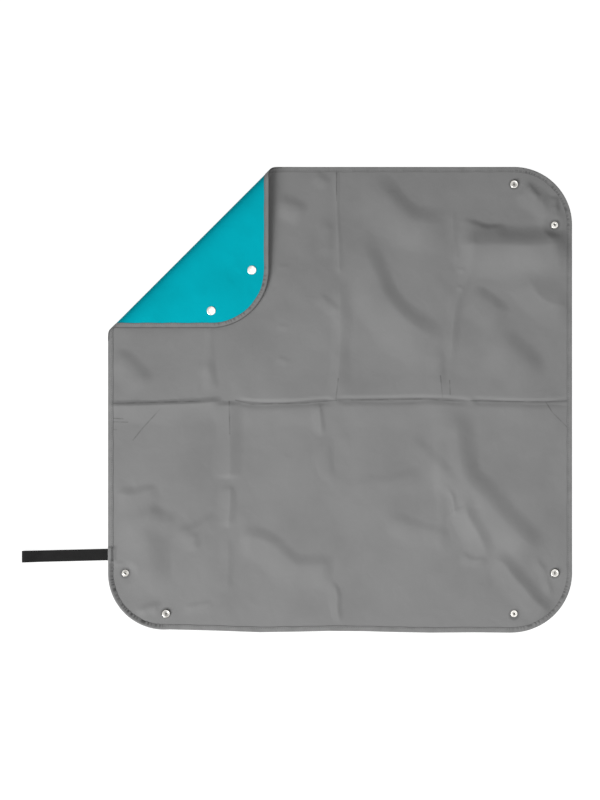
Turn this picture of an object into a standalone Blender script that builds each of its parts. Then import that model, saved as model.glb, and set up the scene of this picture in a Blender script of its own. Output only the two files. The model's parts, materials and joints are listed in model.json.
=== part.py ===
"""Repotting mat: a square two-ply waterproof sheet lying grey side up, bound round its edge.

Each corner carries a press-stud socket and a press-stud stud, one on each side of the corner, so that
a pinched corner snaps together and the sheet becomes a tray. The rear left corner is turned over on
to the sheet. A doubled webbing loop comes out of the left edge. X is to the right, Y to the rear and
Z up, with the origin at the middle of the sheet's underside.
"""

import math

import bmesh
import bpy
from mathutils import Matrix, Vector

# Sheet: two plies with a thin gap, so that they stay separate solids
MAT_WIDTH = 0.800
CORNER_RADIUS = 0.100
PLY_THICKNESS = 0.0004
CLEARANCE = 0.0003
CORNER_SEGMENTS = 10

# Binding tape folded round the edge
TAPE_THICKNESS = 0.0004
BINDING_WIDTH = 0.009

# Crease across the middle, on which the mat folds in half to be put away
STORAGE_CREASE_Y = 0.0025

# Lengthwise creases left by packing: place across, near end, far end (shares of the side) and rise
# (share of CREASE_RISE)
CREASE_RISE = 0.0018
CREASE_HALF_WIDTH = 0.011
CREASE_RUNOUT = 0.026
CREASE_SHARES = (
    (-0.004, 0.003, 0.475, 1.0),
    (0.244, 0.003, 0.400, 1.0),
    (-0.280, 0.003, 0.180, 0.6),
    (-0.239, -0.475, 0.003, 1.0),
    (-0.050, -0.110, 0.003, 0.6),
    (0.216, -0.475, 0.003, 0.6),
)

# Turned-over corner: CORNER_TURNED of the sheet, measured in from the corner's tip, rolls over the bend
# and lies back on the sheet
CORNER_TURNED = 0.16875
BEND_RADIUS = 0.009
BEND_SLICES = 12

# Press studs
SNAP_EDGE_INSET = 0.030
SNAP_CORNER_REACH = 0.100
TURNED_STEPS = 16
RIVET_RADIUS = 0.0016
CAP_RADIUS = 0.0076
CAP_HEIGHT = 0.0013
CAP_RIM = 0.0003
CAP_CROWN_RADIUS = 0.0027
SOCKET_RADIUS = 0.0073
SOCKET_HEIGHT = 0.0030
SOCKET_BORE_RADIUS = 0.0034
SOCKET_GROOVE_RADIUS = 0.0043
SOCKET_FLOOR = 0.0006
SPRING_RADIUS = 0.00355
SPRING_WIRE_RADIUS = 0.0003
SPRING_OPENING_DEG = 30
SPRING_POINTS = 17
STUD_RADIUS = 0.0059
STUD_HEIGHT = 0.0034
STUD_FLANGE = 0.0008
STUD_HEAD_RADIUS = 0.0031
STUD_NECK_RADIUS = 0.0027

# Hanging loop: one length of webbing folded back on itself, with a small open eye at the fold
LOOP_LENGTH = 0.148
LOOP_WIDTH = 0.020
WEBBING_THICKNESS = 0.0012
LOOP_LAYER_GAP = 0.0005
LOOP_EYE_HEIGHT = 0.0082
LOOP_EYE_RUN = 0.034
LOOP_FRONT_DISTANCE = 0.1319
LOOP_LEAN_DEG = 1.4
LOOP_FOLD_DEG = 178
LOOP_ARC_STEPS = 8

# Cutters reach this far past what they cut
OVERRUN = 0.040

# Worked out from the sizes above
HALF_WIDTH = MAT_WIDTH / 2
FACE_BOTTOM = PLY_THICKNESS + CLEARANCE
FACE_TOP = FACE_BOTTOM + PLY_THICKNESS
BINDING_TOP = FACE_TOP + CLEARANCE + TAPE_THICKNESS
CAP_TOP = -CLEARANCE
FLOOR = CAP_TOP - CAP_HEIGHT
FITTING_BOTTOM = FACE_TOP + CLEARANCE
RIVET_HOLE_RADIUS = RIVET_RADIUS + CLEARANCE
NEUTRAL_RADIUS = BEND_RADIUS - FACE_TOP / 2
CORNER_TIP = math.sqrt(2) * (HALF_WIDTH - CORNER_RADIUS) + CORNER_RADIUS
BEND_START = CORNER_TIP - CORNER_TURNED
SOCKET_LIP = (SOCKET_RADIUS - SOCKET_BORE_RADIUS) / 6
SOCKET_GROOVE_TOP = SOCKET_HEIGHT - 2 * SOCKET_LIP
LOOP_CENTRE_Y = LOOP_FRONT_DISTANCE - HALF_WIDTH
LOOP_HINGE_X = -HALF_WIDTH - CLEARANCE
LOOP_HINGE_Z = BINDING_TOP + CLEARANCE
LOOP_FOLDED_TOP = 2 * LOOP_HINGE_Z - FLOOR + LOOP_LENGTH * math.sin(math.radians(LOOP_FOLD_DEG))
STORAGE_FOLD_Z = (2 * BEND_RADIUS + LOOP_FOLDED_TOP + 2 * CLEARANCE) / 2

ALONG_FOLD = Vector((1, 1, 0)).normalized()
ACROSS_FOLD = Vector((-1, 1, 0)).normalized()
CORNER_TURN = math.radians(45)
FLAT_ANGLE = math.radians(0.05)


def flap_droop():
    """Angle past half a turn at which the tip of the turned-over corner comes down on the sheet.

    The tip's tape lies at BEND_RADIUS + (BEND_RADIUS - BINDING_TOP) cos(droop) - reach sin(droop),
    which settles on the sheet's top plus the clearance in a few rounds.
    """
    droop = 0.0
    rest = FACE_TOP + CLEARANCE
    for _ in range(6):
        reach = CORNER_TURNED - NEUTRAL_RADIUS * (math.pi + droop)
        fall = BEND_RADIUS + (BEND_RADIUS - BINDING_TOP) * math.cos(droop) - rest
        droop = math.asin(fall / reach)
    return droop


FLAP_DROOP = flap_droop()
BEND_ANGLE = math.pi + FLAP_DROOP
BEND_LENGTH = NEUTRAL_RADIUS * BEND_ANGLE
BEND_END = BEND_START + BEND_LENGTH


def new_collection(name):
    collection = bpy.data.collections.new(name)
    bpy.context.scene.collection.children.link(collection)
    return collection


def clear_scene():
    for obj in list(bpy.data.objects):
        bpy.data.objects.remove(obj, do_unlink=True)


def principled(name, colour, roughness, metallic=0.0):
    material = bpy.data.materials.new(name)
    material.use_nodes = True
    shader = material.node_tree.nodes["Principled BSDF"]
    shader.inputs["Base Color"].default_value = (*colour, 1.0)
    shader.inputs["Roughness"].default_value = roughness
    shader.inputs["Metallic"].default_value = metallic
    material.diffuse_color = (*colour, 1.0)
    return material


def add_object(name, mesh, collection, material=None):
    obj = bpy.data.objects.new(name, mesh)
    collection.objects.link(obj)
    if material:
        mesh.materials.clear()
        mesh.materials.append(material)
    return obj


def add_helper(name, mesh, cutters):
    """A solid that only shapes others: it is drawn as wire and stays out of renders."""
    obj = add_object(name, mesh, cutters)
    obj.hide_render = True
    obj.display_type = "WIRE"
    return obj


def mesh_from(bm, name):
    mesh = bpy.data.meshes.new(name)
    bm.to_mesh(mesh)
    bm.free()
    return mesh


def boolean(obj, cutter, operation):
    modifier = obj.modifiers.new(operation.title(), "BOOLEAN")
    modifier.operation = operation
    modifier.object = cutter
    modifier.solver = "EXACT"


def evaluated_mesh(obj, name):
    """The object's mesh with its modifiers applied, in its own space."""
    graph = bpy.context.evaluated_depsgraph_get()
    mesh = bpy.data.meshes.new_from_object(obj.evaluated_get(graph))
    mesh.name = name
    return mesh


def rounded_square(inset, height):
    """A flat face with the mat's outline moved in by inset, at the given height."""
    bm = bmesh.new()
    lift = Matrix.Translation((0, 0, height))
    bmesh.ops.create_grid(bm, x_segments=1, y_segments=1, size=HALF_WIDTH - inset, matrix=lift)
    bmesh.ops.bevel(
        bm,
        geom=bm.verts[:],
        offset=CORNER_RADIUS - inset,
        offset_type="OFFSET",
        segments=CORNER_SEGMENTS,
        profile=0.5,
        affect="VERTICES",
    )
    return bm


def rounded_plate(name, inset, bottom, top, cutters):
    """A solid plate with the mat's outline moved in by inset."""
    bm = rounded_square(inset, bottom)
    raised = bmesh.ops.extrude_face_region(bm, geom=bm.faces[:])["geom"]
    verts = [item for item in raised if isinstance(item, bmesh.types.BMVert)]
    bmesh.ops.translate(bm, verts=verts, vec=(0, 0, top - bottom))
    bmesh.ops.recalc_face_normals(bm, faces=bm.faces[:])
    return add_helper(name, mesh_from(bm, name), cutters)


def crease_rise(x, y):
    """Height of the crease ridges at a point: a tent across each crease, run out at both of its ends."""
    rise = 0.0
    for place, near, far, share in CREASE_SHARES:
        across = 1 - abs(x - place * MAT_WIDTH) / CREASE_HALF_WIDTH
        along = min(y - near * MAT_WIDTH, far * MAT_WIDTH - y) / CREASE_RUNOUT
        rise += share * CREASE_RISE * max(0.0, across) * min(1.0, max(0.0, along))
    return rise


def slice_at(bm, places, direction):
    """Cuts edges into the mesh square to a direction, at distances from the origin, and removes nothing."""
    for place in sorted(set(places)):
        bmesh.ops.bisect_plane(
            bm,
            geom=bm.verts[:] + bm.edges[:] + bm.faces[:],
            plane_co=direction * place,
            plane_no=direction,
        )


def merge_flat_faces(bm):
    bm.normal_update()
    bmesh.ops.dissolve_limit(bm, angle_limit=FLAT_ANGLE, verts=bm.verts[:], edges=bm.edges[:])


def creased_ply(name, inset, bottom, holes, cutters):
    """One whole ply of cloth, with its creases raised and its rivet holes cut."""
    bm = rounded_square(inset, bottom)
    across = []
    along = []
    for place, near, far, _ in CREASE_SHARES:
        middle = place * MAT_WIDTH
        across += [middle - CREASE_HALF_WIDTH, middle, middle + CREASE_HALF_WIDTH]
        along += [near * MAT_WIDTH, near * MAT_WIDTH + CREASE_RUNOUT]
        along += [far * MAT_WIDTH - CREASE_RUNOUT, far * MAT_WIDTH]
    slice_at(bm, across, Vector((1, 0, 0)))
    slice_at(bm, along, Vector((0, 1, 0)))
    for vert in bm.verts:
        vert.co.z += crease_rise(vert.co.x, vert.co.y)
    merge_flat_faces(bm)
    bmesh.ops.triangulate(bm, faces=bm.faces[:])
    ply = add_helper(name, mesh_from(bm, name), cutters)
    solidify = ply.modifiers.new("Cloth", "SOLIDIFY")
    solidify.thickness = PLY_THICKNESS
    solidify.offset = 1
    solidify.use_even_offset = True
    boolean(ply, holes, "DIFFERENCE")
    return ply


def binding_ring(cutters):
    """The whole binding: tape folded round the edge, open on its inner side where the face ply enters."""
    ring = rounded_plate("whole_binding", 0, 0, BINDING_TOP, cutters)
    channel_top = BINDING_TOP - TAPE_THICKNESS
    channel = rounded_plate(
        "binding_channel", TAPE_THICKNESS, TAPE_THICKNESS, channel_top, cutters
    )
    window = rounded_plate("binding_window", BINDING_WIDTH, -OVERRUN, OVERRUN, cutters)
    boolean(ring, channel, "DIFFERENCE")
    boolean(ring, window, "DIFFERENCE")
    return ring


def region(name, low, high, turn, cutters):
    """A box from low to high in the plane, tall enough for the whole mat and turned about Z."""
    bm = bmesh.new()
    bmesh.ops.create_cube(bm, size=1)
    size = Vector((high[0] - low[0], high[1] - low[1], 2 * OVERRUN))
    bmesh.ops.scale(bm, verts=bm.verts[:], vec=size)
    middle = Vector(((low[0] + high[0]) / 2, (low[1] + high[1]) / 2, 0))
    bmesh.ops.translate(bm, verts=bm.verts[:], vec=middle)
    bmesh.ops.rotate(bm, verts=bm.verts[:], matrix=Matrix.Rotation(turn, 3, "Z"))
    return add_helper(name, mesh_from(bm, name), cutters)


def mat_regions(cutters):
    """Boxes that share the flat mat out among its halves, the bend and the turned-over corner."""
    edge = HALF_WIDTH + OVERRUN
    far = MAT_WIDTH
    seam = CLEARANCE / 2
    rear_start = STORAGE_CREASE_Y + seam
    quarter = HALF_WIDTH / 2
    bend = (BEND_START + seam, BEND_END - seam)
    return {
        "front": region("front_region", (-edge, -edge), (edge, STORAGE_CREASE_Y - seam), 0, cutters),
        "rear": region("rear_region", (-edge, rear_start), (edge, edge), 0, cutters),
        "rear_left": region("rear_left_region", (-edge, -quarter), (-quarter, quarter), 0, cutters),
        "corner": region("corner_region", (-far, BEND_START - seam), (far, far), CORNER_TURN, cutters),
        "bend": region("bend_region", (-far, bend[0]), (far, bend[1]), CORNER_TURN, cutters),
        "bend_left": region("bend_left_region", (-far, bend[0]), (0, bend[1]), CORNER_TURN, cutters),
        "bend_top": region("bend_top_region", (0, bend[0]), (far, bend[1]), CORNER_TURN, cutters),
        "flap": region("flap_region", (-far, BEND_END + seam), (far, far), CORNER_TURN, cutters),
    }


def panel(name, stock, keep, drop, collection, material):
    """The share of a whole ply or binding that lies in all of some regions and in none of others."""
    rough = add_object(name + "_stock", evaluated_mesh(stock, name), collection)
    for cutter in keep:
        boolean(rough, cutter, "INTERSECT")
    for cutter in drop:
        boolean(rough, cutter, "DIFFERENCE")
    mesh = evaluated_mesh(rough, name)
    bpy.data.objects.remove(rough, do_unlink=True)
    return add_object(name, mesh, collection, material)


def roll(point):
    """Rolls a flat point over the bend: the distance past BEND_START becomes an angle about its centre."""
    angle = (point.dot(ACROSS_FOLD) - BEND_START) / NEUTRAL_RADIUS
    reach = BEND_RADIUS - point.z
    across = BEND_START + reach * math.sin(angle)
    height = BEND_RADIUS - reach * math.cos(angle)
    return ALONG_FOLD * point.dot(ALONG_FOLD) + ACROSS_FOLD * across + Vector((0, 0, height))


def rolled_panel(name, stock, keep, collection, material):
    """A strip of the flat mat, sliced along the fold and rolled over the bend."""
    obj = panel(name, stock, keep, (), collection, material)
    bm = bmesh.new()
    bm.from_mesh(obj.data)
    merge_flat_faces(bm)
    step = BEND_LENGTH / BEND_SLICES
    slice_at(bm, [BEND_START + step * i for i in range(1, BEND_SLICES)], ACROSS_FOLD)
    for vert in bm.verts:
        vert.co = roll(vert.co)
    bm.to_mesh(obj.data)
    bm.free()
    obj.data.shade_smooth()
    obj.data.set_sharp_from_angle(angle=CORNER_TURN)
    return obj


def turned(name, profile, collection, material):
    """A solid of revolution from (radius, height) points that run down its outer side."""
    bm = bmesh.new()
    verts = [bm.verts.new((radius, 0, height)) for radius, height in profile]
    closed = profile[0][0] > 0
    for start, end in zip(verts, verts[1:] + verts[:1] if closed else verts[1:]):
        bm.edges.new((start, end))
    obj = add_object(name, mesh_from(bm, name), collection, material)
    screw = obj.modifiers.new("Turn", "SCREW")
    screw.steps = TURNED_STEPS
    screw.render_steps = TURNED_STEPS
    screw.use_merge_vertices = True
    screw.merge_threshold = CLEARANCE / 30
    screw.use_smooth_shade = True
    return obj


def cap_profile(rivet_top):
    """A domed cap under the sheet, with its rivet standing up through both plies."""
    points = [(0, rivet_top), (RIVET_RADIUS, rivet_top), (RIVET_RADIUS, CAP_TOP)]
    points.append((CAP_RADIUS - CAP_RIM, CAP_TOP))
    dome = CAP_HEIGHT - CAP_RIM
    for step in range(5):
        angle = math.radians(90) * step / 4
        radius = CAP_CROWN_RADIUS + (CAP_RADIUS - CAP_CROWN_RADIUS) * math.cos(angle)
        points.append((radius, CAP_TOP - CAP_RIM - dome * math.sin(angle)))
    points.append((0, FLOOR))
    return points


def socket_profile():
    """A ring with a rolled lip, a spring groove behind it and a riveted floor."""
    lip = SOCKET_LIP
    points = [
        (SOCKET_BORE_RADIUS, SOCKET_HEIGHT - lip),
        (SOCKET_BORE_RADIUS + lip, SOCKET_HEIGHT),
        (SOCKET_RADIUS - 3 * lip, SOCKET_HEIGHT),
        (SOCKET_RADIUS - lip, SOCKET_HEIGHT - lip),
        (SOCKET_RADIUS, SOCKET_FLOOR + lip),
        (SOCKET_RADIUS, SOCKET_FLOOR / 2),
        (SOCKET_RADIUS - lip / 2, 0),
        (RIVET_HOLE_RADIUS, 0),
        (RIVET_HOLE_RADIUS, SOCKET_FLOOR),
        (SOCKET_GROOVE_RADIUS, SOCKET_FLOOR),
        (SOCKET_GROOVE_RADIUS, SOCKET_GROOVE_TOP),
        (SOCKET_BORE_RADIUS, SOCKET_GROOVE_TOP + lip / 3),
    ]
    return [(radius, height + FITTING_BOTTOM) for radius, height in points]


def stud_profile():
    """A flange that carries a hollow necked head, into which the rivet runs."""
    shoulder = STUD_HEIGHT - STUD_FLANGE
    points = [
        (RIVET_HOLE_RADIUS, STUD_HEIGHT),
        (STUD_NECK_RADIUS, STUD_HEIGHT),
        (STUD_HEAD_RADIUS, STUD_HEIGHT - shoulder / 4),
        (STUD_HEAD_RADIUS, STUD_HEIGHT - shoulder / 2),
        (STUD_NECK_RADIUS, STUD_FLANGE + shoulder / 5),
        (STUD_HEAD_RADIUS, STUD_FLANGE),
        (STUD_RADIUS, STUD_FLANGE),
        (STUD_RADIUS, STUD_FLANGE / 3),
        (STUD_RADIUS - STUD_FLANGE / 3, 0),
        (RIVET_HOLE_RADIUS, 0),
    ]
    return [(radius, height + FITTING_BOTTOM) for radius, height in points]


def socket_spring(name, collection, material):
    """A round wire, open on one side, that lies in the socket's groove and shows in its bore."""
    curve = bpy.data.curves.new(name, "CURVE")
    curve.dimensions = "3D"
    curve.bevel_depth = SPRING_WIRE_RADIUS
    curve.bevel_resolution = 1
    curve.use_fill_caps = True
    curve.materials.append(material)
    height = FITTING_BOTTOM + (SOCKET_FLOOR + SOCKET_GROOVE_TOP) / 2
    spline = curve.splines.new("POLY")
    spline.points.add(SPRING_POINTS - 1)
    opening = math.radians(SPRING_OPENING_DEG)
    for index, point in enumerate(spline.points):
        angle = opening / 2 + (2 * math.pi - opening) * index / (SPRING_POINTS - 1)
        place = (SPRING_RADIUS * math.cos(angle), SPRING_RADIUS * math.sin(angle), height)
        point.co = (*place, 1)
    obj = bpy.data.objects.new(name, curve)
    collection.objects.link(obj)
    return obj


def snap_places(quarter):
    """Where the socket and the stud of a corner stand, by quarter turns from the rear left corner."""
    near_edge = HALF_WIDTH - SNAP_EDGE_INSET
    near_corner = HALF_WIDTH - SNAP_CORNER_REACH
    turn = Matrix.Rotation(-math.pi / 2 * quarter, 3, "Z")
    socket = turn @ Vector((-near_edge, near_corner, 0))
    stud = turn @ Vector((-near_corner, near_edge, 0))
    return socket, stud


def rivet_holes(cutters):
    """One cylinder through both plies for each of the eight rivets."""
    bm = bmesh.new()
    for quarter in range(4):
        for place in snap_places(quarter):
            bmesh.ops.create_cone(
                bm,
                cap_ends=True,
                segments=TURNED_STEPS,
                radius1=RIVET_HOLE_RADIUS,
                radius2=RIVET_HOLE_RADIUS,
                depth=2 * OVERRUN,
                matrix=Matrix.Translation(place),
            )
    return add_helper("rivet_holes", mesh_from(bm, "rivet_holes"), cutters)


def corner_snaps(corner, quarter, collection, nickel, steel):
    """The socket and the stud of one corner, each with its cap, and the socket's spring."""
    socket_place, stud_place = snap_places(quarter)
    rivet_in_socket = FITTING_BOTTOM + SOCKET_FLOOR + CLEARANCE
    rivet_in_stud = FITTING_BOTTOM + STUD_HEIGHT / 2
    pieces = {
        corner + "_socket": (socket_profile(), socket_place),
        corner + "_socket_cap": (cap_profile(rivet_in_socket), socket_place),
        corner + "_stud": (stud_profile(), stud_place),
        corner + "_stud_cap": (cap_profile(rivet_in_stud), stud_place),
    }
    made = []
    for name, (profile, place) in pieces.items():
        obj = turned(name, profile, collection, nickel)
        obj.location = place
        made.append(obj)
    spring = socket_spring(corner + "_socket_spring", collection, steel)
    spring.location = socket_place
    made.append(spring)
    return made


def loop_centreline():
    """Reach from the mat's edge and height over the floor, from the lower end round the eye and back."""
    half = WEBBING_THICKNESS / 2
    eye_radius = (LOOP_EYE_HEIGHT - WEBBING_THICKNESS) / 2
    centre = LOOP_LENGTH - half - eye_radius
    upper = half + WEBBING_THICKNESS + LOOP_LAYER_GAP
    points = [(0, half), (centre - LOOP_EYE_RUN, half)]
    for step in range(LOOP_ARC_STEPS + 1):
        angle = math.pi * (step / LOOP_ARC_STEPS - 0.5)
        reach = centre + eye_radius * math.cos(angle)
        points.append((reach, half + eye_radius * (1 + math.sin(angle))))
    for step in range(1, LOOP_ARC_STEPS + 1):
        share = step / LOOP_ARC_STEPS
        ease = (1 + math.cos(math.pi * share)) / 2
        top = half + 2 * eye_radius
        points.append((centre - LOOP_EYE_RUN * share, upper + (top - upper) * ease))
    points.append((0, upper))
    return points


def hanging_loop(collection, material):
    """Webbing swept across its width along the loop's side profile, drifting forward towards its tip."""
    bm = bmesh.new()
    drift = math.tan(math.radians(LOOP_LEAN_DEG))
    verts = []
    for reach, height in loop_centreline():
        y = LOOP_CENTRE_Y - LOOP_WIDTH / 2 - drift * reach
        verts.append(bm.verts.new((LOOP_HINGE_X - reach, y, FLOOR + height)))
    for start, end in zip(verts, verts[1:]):
        bm.edges.new((start, end))
    swept = bmesh.ops.extrude_edge_only(bm, edges=bm.edges[:])["geom"]
    far_side = [item for item in swept if isinstance(item, bmesh.types.BMVert)]
    bmesh.ops.translate(bm, verts=far_side, vec=(0, LOOP_WIDTH, 0))
    obj = add_object("hanging_loop", mesh_from(bm, "hanging_loop"), collection, material)
    solidify = obj.modifiers.new("Webbing", "SOLIDIFY")
    solidify.thickness = WEBBING_THICKNESS
    solidify.offset = 0
    solidify.use_even_offset = True
    return obj


def add_axis(name, place, collection, parent=None):
    """An empty on a joint's axis. What it carries keeps its place in the flat mat's own space."""
    empty = bpy.data.objects.new(name, None)
    collection.objects.link(empty)
    empty.location = place
    if parent:
        attach(empty, parent)
    return empty


def attach(obj, axis):
    obj.parent = axis
    obj.matrix_parent_inverse = Matrix.Translation(-axis.location)


def joint_axes(collection):
    """Empties on the three joint axes. The corner's is turned, which folds the flat corner over."""
    storage = add_axis(
        "storage_fold_axis", Vector((0, STORAGE_CREASE_Y, STORAGE_FOLD_Z)), collection
    )
    across = BEND_START + BEND_LENGTH / 2
    height = BEND_RADIUS + BEND_LENGTH / 2 * math.tan(FLAP_DROOP / 2)
    place = ACROSS_FOLD * across + Vector((0, 0, height))
    corner = add_axis("corner_fold_axis", place, collection, storage)
    corner.rotation_mode = "QUATERNION"
    corner.rotation_quaternion = Matrix.Rotation(BEND_ANGLE, 3, ALONG_FOLD).to_quaternion()
    loop_place = Vector((LOOP_HINGE_X, LOOP_CENTRE_Y, LOOP_HINGE_Z))
    loop = add_axis("loop_swing_axis", loop_place, collection)
    return storage, corner, loop


def build():
    clear_scene()
    parts = new_collection("repotting_mat")
    cutters = new_collection("cutters")
    teal = principled("teal coated cloth", (0.004, 0.400, 0.496), 0.45)
    grey = principled("grey coated cloth", (0.235, 0.235, 0.235), 0.65)
    tape = principled("grey binding tape", (0.190, 0.190, 0.190), 0.75)
    webbing = principled("black webbing", (0.022, 0.022, 0.022), 0.85)
    nickel = principled("nickel plated brass", (0.720, 0.700, 0.660), 0.22, 1.0)
    steel = principled("spring steel wire", (0.560, 0.560, 0.570), 0.30, 1.0)

    holes = rivet_holes(cutters)
    base = creased_ply("whole_base_ply", BINDING_WIDTH + CLEARANCE, 0, holes, cutters)
    face_inset = TAPE_THICKNESS + CLEARANCE
    face = creased_ply("whole_face_ply", face_inset, FACE_BOTTOM, holes, cutters)
    ring = binding_ring(cutters)
    regions = mat_regions(cutters)
    corner = regions["corner"]
    rear_left = regions["rear_left"]
    storage_axis, corner_axis, loop_axis = joint_axes(parts)

    front_only = (regions["front"],)
    rear_only = (regions["rear"],)
    flap_only = (regions["flap"],)
    rear = []
    flap = []
    for kind, stock, material in (("base_cloth", base, teal), ("face_cloth", face, grey)):
        panel("front_" + kind, stock, front_only, (), parts, material)
        rear.append(panel("rear_" + kind, stock, rear_only, (corner,), parts, material))
        rear.append(rolled_panel("bend_" + kind, stock, (regions["bend"],), parts, material))
        flap.append(panel("flap_" + kind, stock, flap_only, (), parts, material))
    panel("front_binding", ring, front_only, (), parts, tape)
    rear.append(panel("rear_binding", ring, rear_only, (corner, rear_left), parts, tape))
    left_end = (regions["rear"], rear_left)
    rear.append(panel("rear_left_binding", ring, left_end, (corner,), parts, tape))
    for side in ("bend_left", "bend_top"):
        rear.append(rolled_panel(side + "_binding", ring, (regions[side],), parts, tape))
    flap.append(panel("flap_binding", ring, flap_only, (), parts, tape))

    flap += corner_snaps("flap", 0, parts, nickel, steel)
    rear += corner_snaps("rear_right", 1, parts, nickel, steel)
    corner_snaps("front_right", 2, parts, nickel, steel)
    corner_snaps("front_left", 3, parts, nickel, steel)
    for obj in rear:
        attach(obj, storage_axis)
    for obj in flap:
        attach(obj, corner_axis)
    attach(hanging_loop(parts, webbing), loop_axis)


build()
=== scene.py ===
"""Looks of a repotting mat that lies grey side up with its rear left corner turned over.

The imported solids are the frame. Every one of them is replaced here by a finer surface worked out from the
same sizes: two coated plies with their creases and folds, the binding with its stitches, the press studs
and the webbing loop. Everything is in metres, X to the right, Y to the rear and Z up.
"""
import json
import logging
import math
from dataclasses import dataclass
from enum import Enum
from functools import reduce

import bmesh
import bpy
import numpy as np
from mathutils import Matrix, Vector


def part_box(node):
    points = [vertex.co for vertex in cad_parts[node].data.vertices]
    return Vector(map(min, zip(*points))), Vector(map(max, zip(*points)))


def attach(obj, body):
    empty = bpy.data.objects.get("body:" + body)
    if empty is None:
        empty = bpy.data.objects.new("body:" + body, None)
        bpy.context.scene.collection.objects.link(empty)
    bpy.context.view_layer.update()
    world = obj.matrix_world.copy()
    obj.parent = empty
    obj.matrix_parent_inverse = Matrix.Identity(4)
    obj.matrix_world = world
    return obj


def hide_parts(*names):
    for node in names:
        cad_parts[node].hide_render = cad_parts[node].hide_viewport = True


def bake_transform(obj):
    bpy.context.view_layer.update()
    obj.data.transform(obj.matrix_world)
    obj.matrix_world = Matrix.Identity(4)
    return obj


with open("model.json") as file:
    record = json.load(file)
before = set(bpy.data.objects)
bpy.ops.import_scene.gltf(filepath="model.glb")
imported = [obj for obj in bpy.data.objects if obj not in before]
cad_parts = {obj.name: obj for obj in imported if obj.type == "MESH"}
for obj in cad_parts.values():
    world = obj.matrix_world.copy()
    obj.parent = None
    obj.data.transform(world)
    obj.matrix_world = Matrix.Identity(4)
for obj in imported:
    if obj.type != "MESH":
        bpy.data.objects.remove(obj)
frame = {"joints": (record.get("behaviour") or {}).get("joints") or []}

LOG = logging.getLogger("repotting_mat")
Array = np.ndarray
Material = bpy.types.Material
Piece = bpy.types.Object
Socket = bpy.types.NodeSocket
Point = tuple[float, float, float]
MM = 0.001


class Side(Enum):
    """Which part of the mat a piece of cloth, tape or thread belongs to."""

    FRONT = "front"
    REAR = "rear"
    EDGE = "edge"
    CORNER = "corner"


class Ply(Enum):
    """The two plies of the sheet, by the name of their CAD nodes."""

    FACE = "face"
    BASE = "base"


# Helpers for meshes


def grid_faces(rows: int, columns: int, wrap_rows: bool = False, wrap_columns: bool = False) -> Array:
    """Numbers the quads of a grid of points that is stored row by row.

    Args:
        rows: Count of rows of points.
        columns: Count of points in a row.
        wrap_rows: Whether the last row joins the first.
        wrap_columns: Whether the last point of a row joins its first.

    Returns:
        An array of (row, column) pairs for the four corners of each quad, not yet wrapped.
    """
    row = np.arange(rows if wrap_rows else rows - 1)[:, None]
    column = np.arange(columns if wrap_columns else columns - 1)[None, :]
    corners = ((0, 0), (0, 1), (1, 1), (1, 0))
    pairs = [np.stack(np.broadcast_arrays(row + down, column + along), axis=-1) for down, along in corners]
    return np.stack(pairs, axis=2).reshape(-1, 4, 2)


def new_piece(name: str, points: Array, corners: Array, starts: Array, uv: Array | None = None) -> Piece:
    """Makes a mesh object from its points and faces.

    Args:
        name: Name of the piece.
        points: Its points in the row frame, with their three parts last.
        corners: Index of the point at every corner of every face.
        starts: Place in corners at which each face starts.
        uv: The pattern's coordinates at every corner, or None.

    Returns:
        The new object, smooth shaded and linked to the scene.
    """
    mesh = bpy.data.meshes.new(name)
    mesh.vertices.add(points.size // 3)
    mesh.vertices.foreach_set("co", points.astype(np.float32).ravel())
    mesh.loops.add(len(corners))
    mesh.loops.foreach_set("vertex_index", corners.astype(np.int32))
    mesh.polygons.add(len(starts))
    mesh.polygons.foreach_set("loop_start", starts.astype(np.int32))
    mesh.update(calc_edges=True)
    if uv is not None:
        layer = mesh.uv_layers.new(name="pattern")
        layer.data.foreach_set("uv", uv.astype(np.float32).ravel())
    mesh.shade_smooth()
    obj = bpy.data.objects.new(name, mesh)
    bpy.context.scene.collection.objects.link(obj)
    return obj


def surface(
    name: str, points: Array, uv: Array | None = None, wrap_rows: bool = False, wrap_columns: bool = False
) -> Piece:
    """Makes a mesh object from a grid of points.

    Args:
        name: Name of the piece.
        points: Array of shape (rows, columns, 3), in the row frame.
        uv: Array of shape (rows + wrap, columns + wrap, 2) with the pattern's coordinates, or None.
        wrap_rows: Whether the last row joins the first.
        wrap_columns: Whether the last point of a row joins its first.

    Returns:
        The new object, smooth shaded and linked to the scene.
    """
    rows, columns = points.shape[:2]
    pairs = grid_faces(rows, columns, wrap_rows, wrap_columns)
    quads = (pairs[..., 0] % rows) * columns + pairs[..., 1] % columns
    held = None if uv is None else uv[pairs[..., 0], pairs[..., 1]]
    return new_piece(name, points, quads.ravel(), np.arange(0, quads.size, 4), held)


def mend(obj: Piece, close_ends: bool = False, sharp_deg: float = 0.0) -> Piece:
    """Merges doubled points, closes open ends and turns every face outwards.

    Args:
        obj: The piece, whose mesh is changed.
        close_ends: Whether each open rim gets an end face.
        sharp_deg: Edges sharper than this stay sharp; 0 leaves the shading smooth everywhere.

    Returns:
        The same object.
    """
    bm = bmesh.new()
    bm.from_mesh(obj.data)
    bmesh.ops.remove_doubles(bm, verts=bm.verts[:], dist=1e-6)
    if close_ends:
        bmesh.ops.holes_fill(bm, edges=[e for e in bm.edges if e.is_boundary], sides=0)
    bmesh.ops.recalc_face_normals(bm, faces=bm.faces[:])
    bm.to_mesh(obj.data)
    bm.free()
    obj.data.shade_smooth()
    if sharp_deg:
        obj.data.set_sharp_from_angle(angle=math.radians(sharp_deg))
    return obj


def vertex_points(mesh: bpy.types.Mesh) -> Array:
    """Returns the mesh's points as an array of shape (count, 3)."""
    flat = np.empty(len(mesh.vertices) * 3, np.float32)
    mesh.vertices.foreach_get("co", flat)
    return flat.reshape(-1, 3).astype(float)


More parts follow.
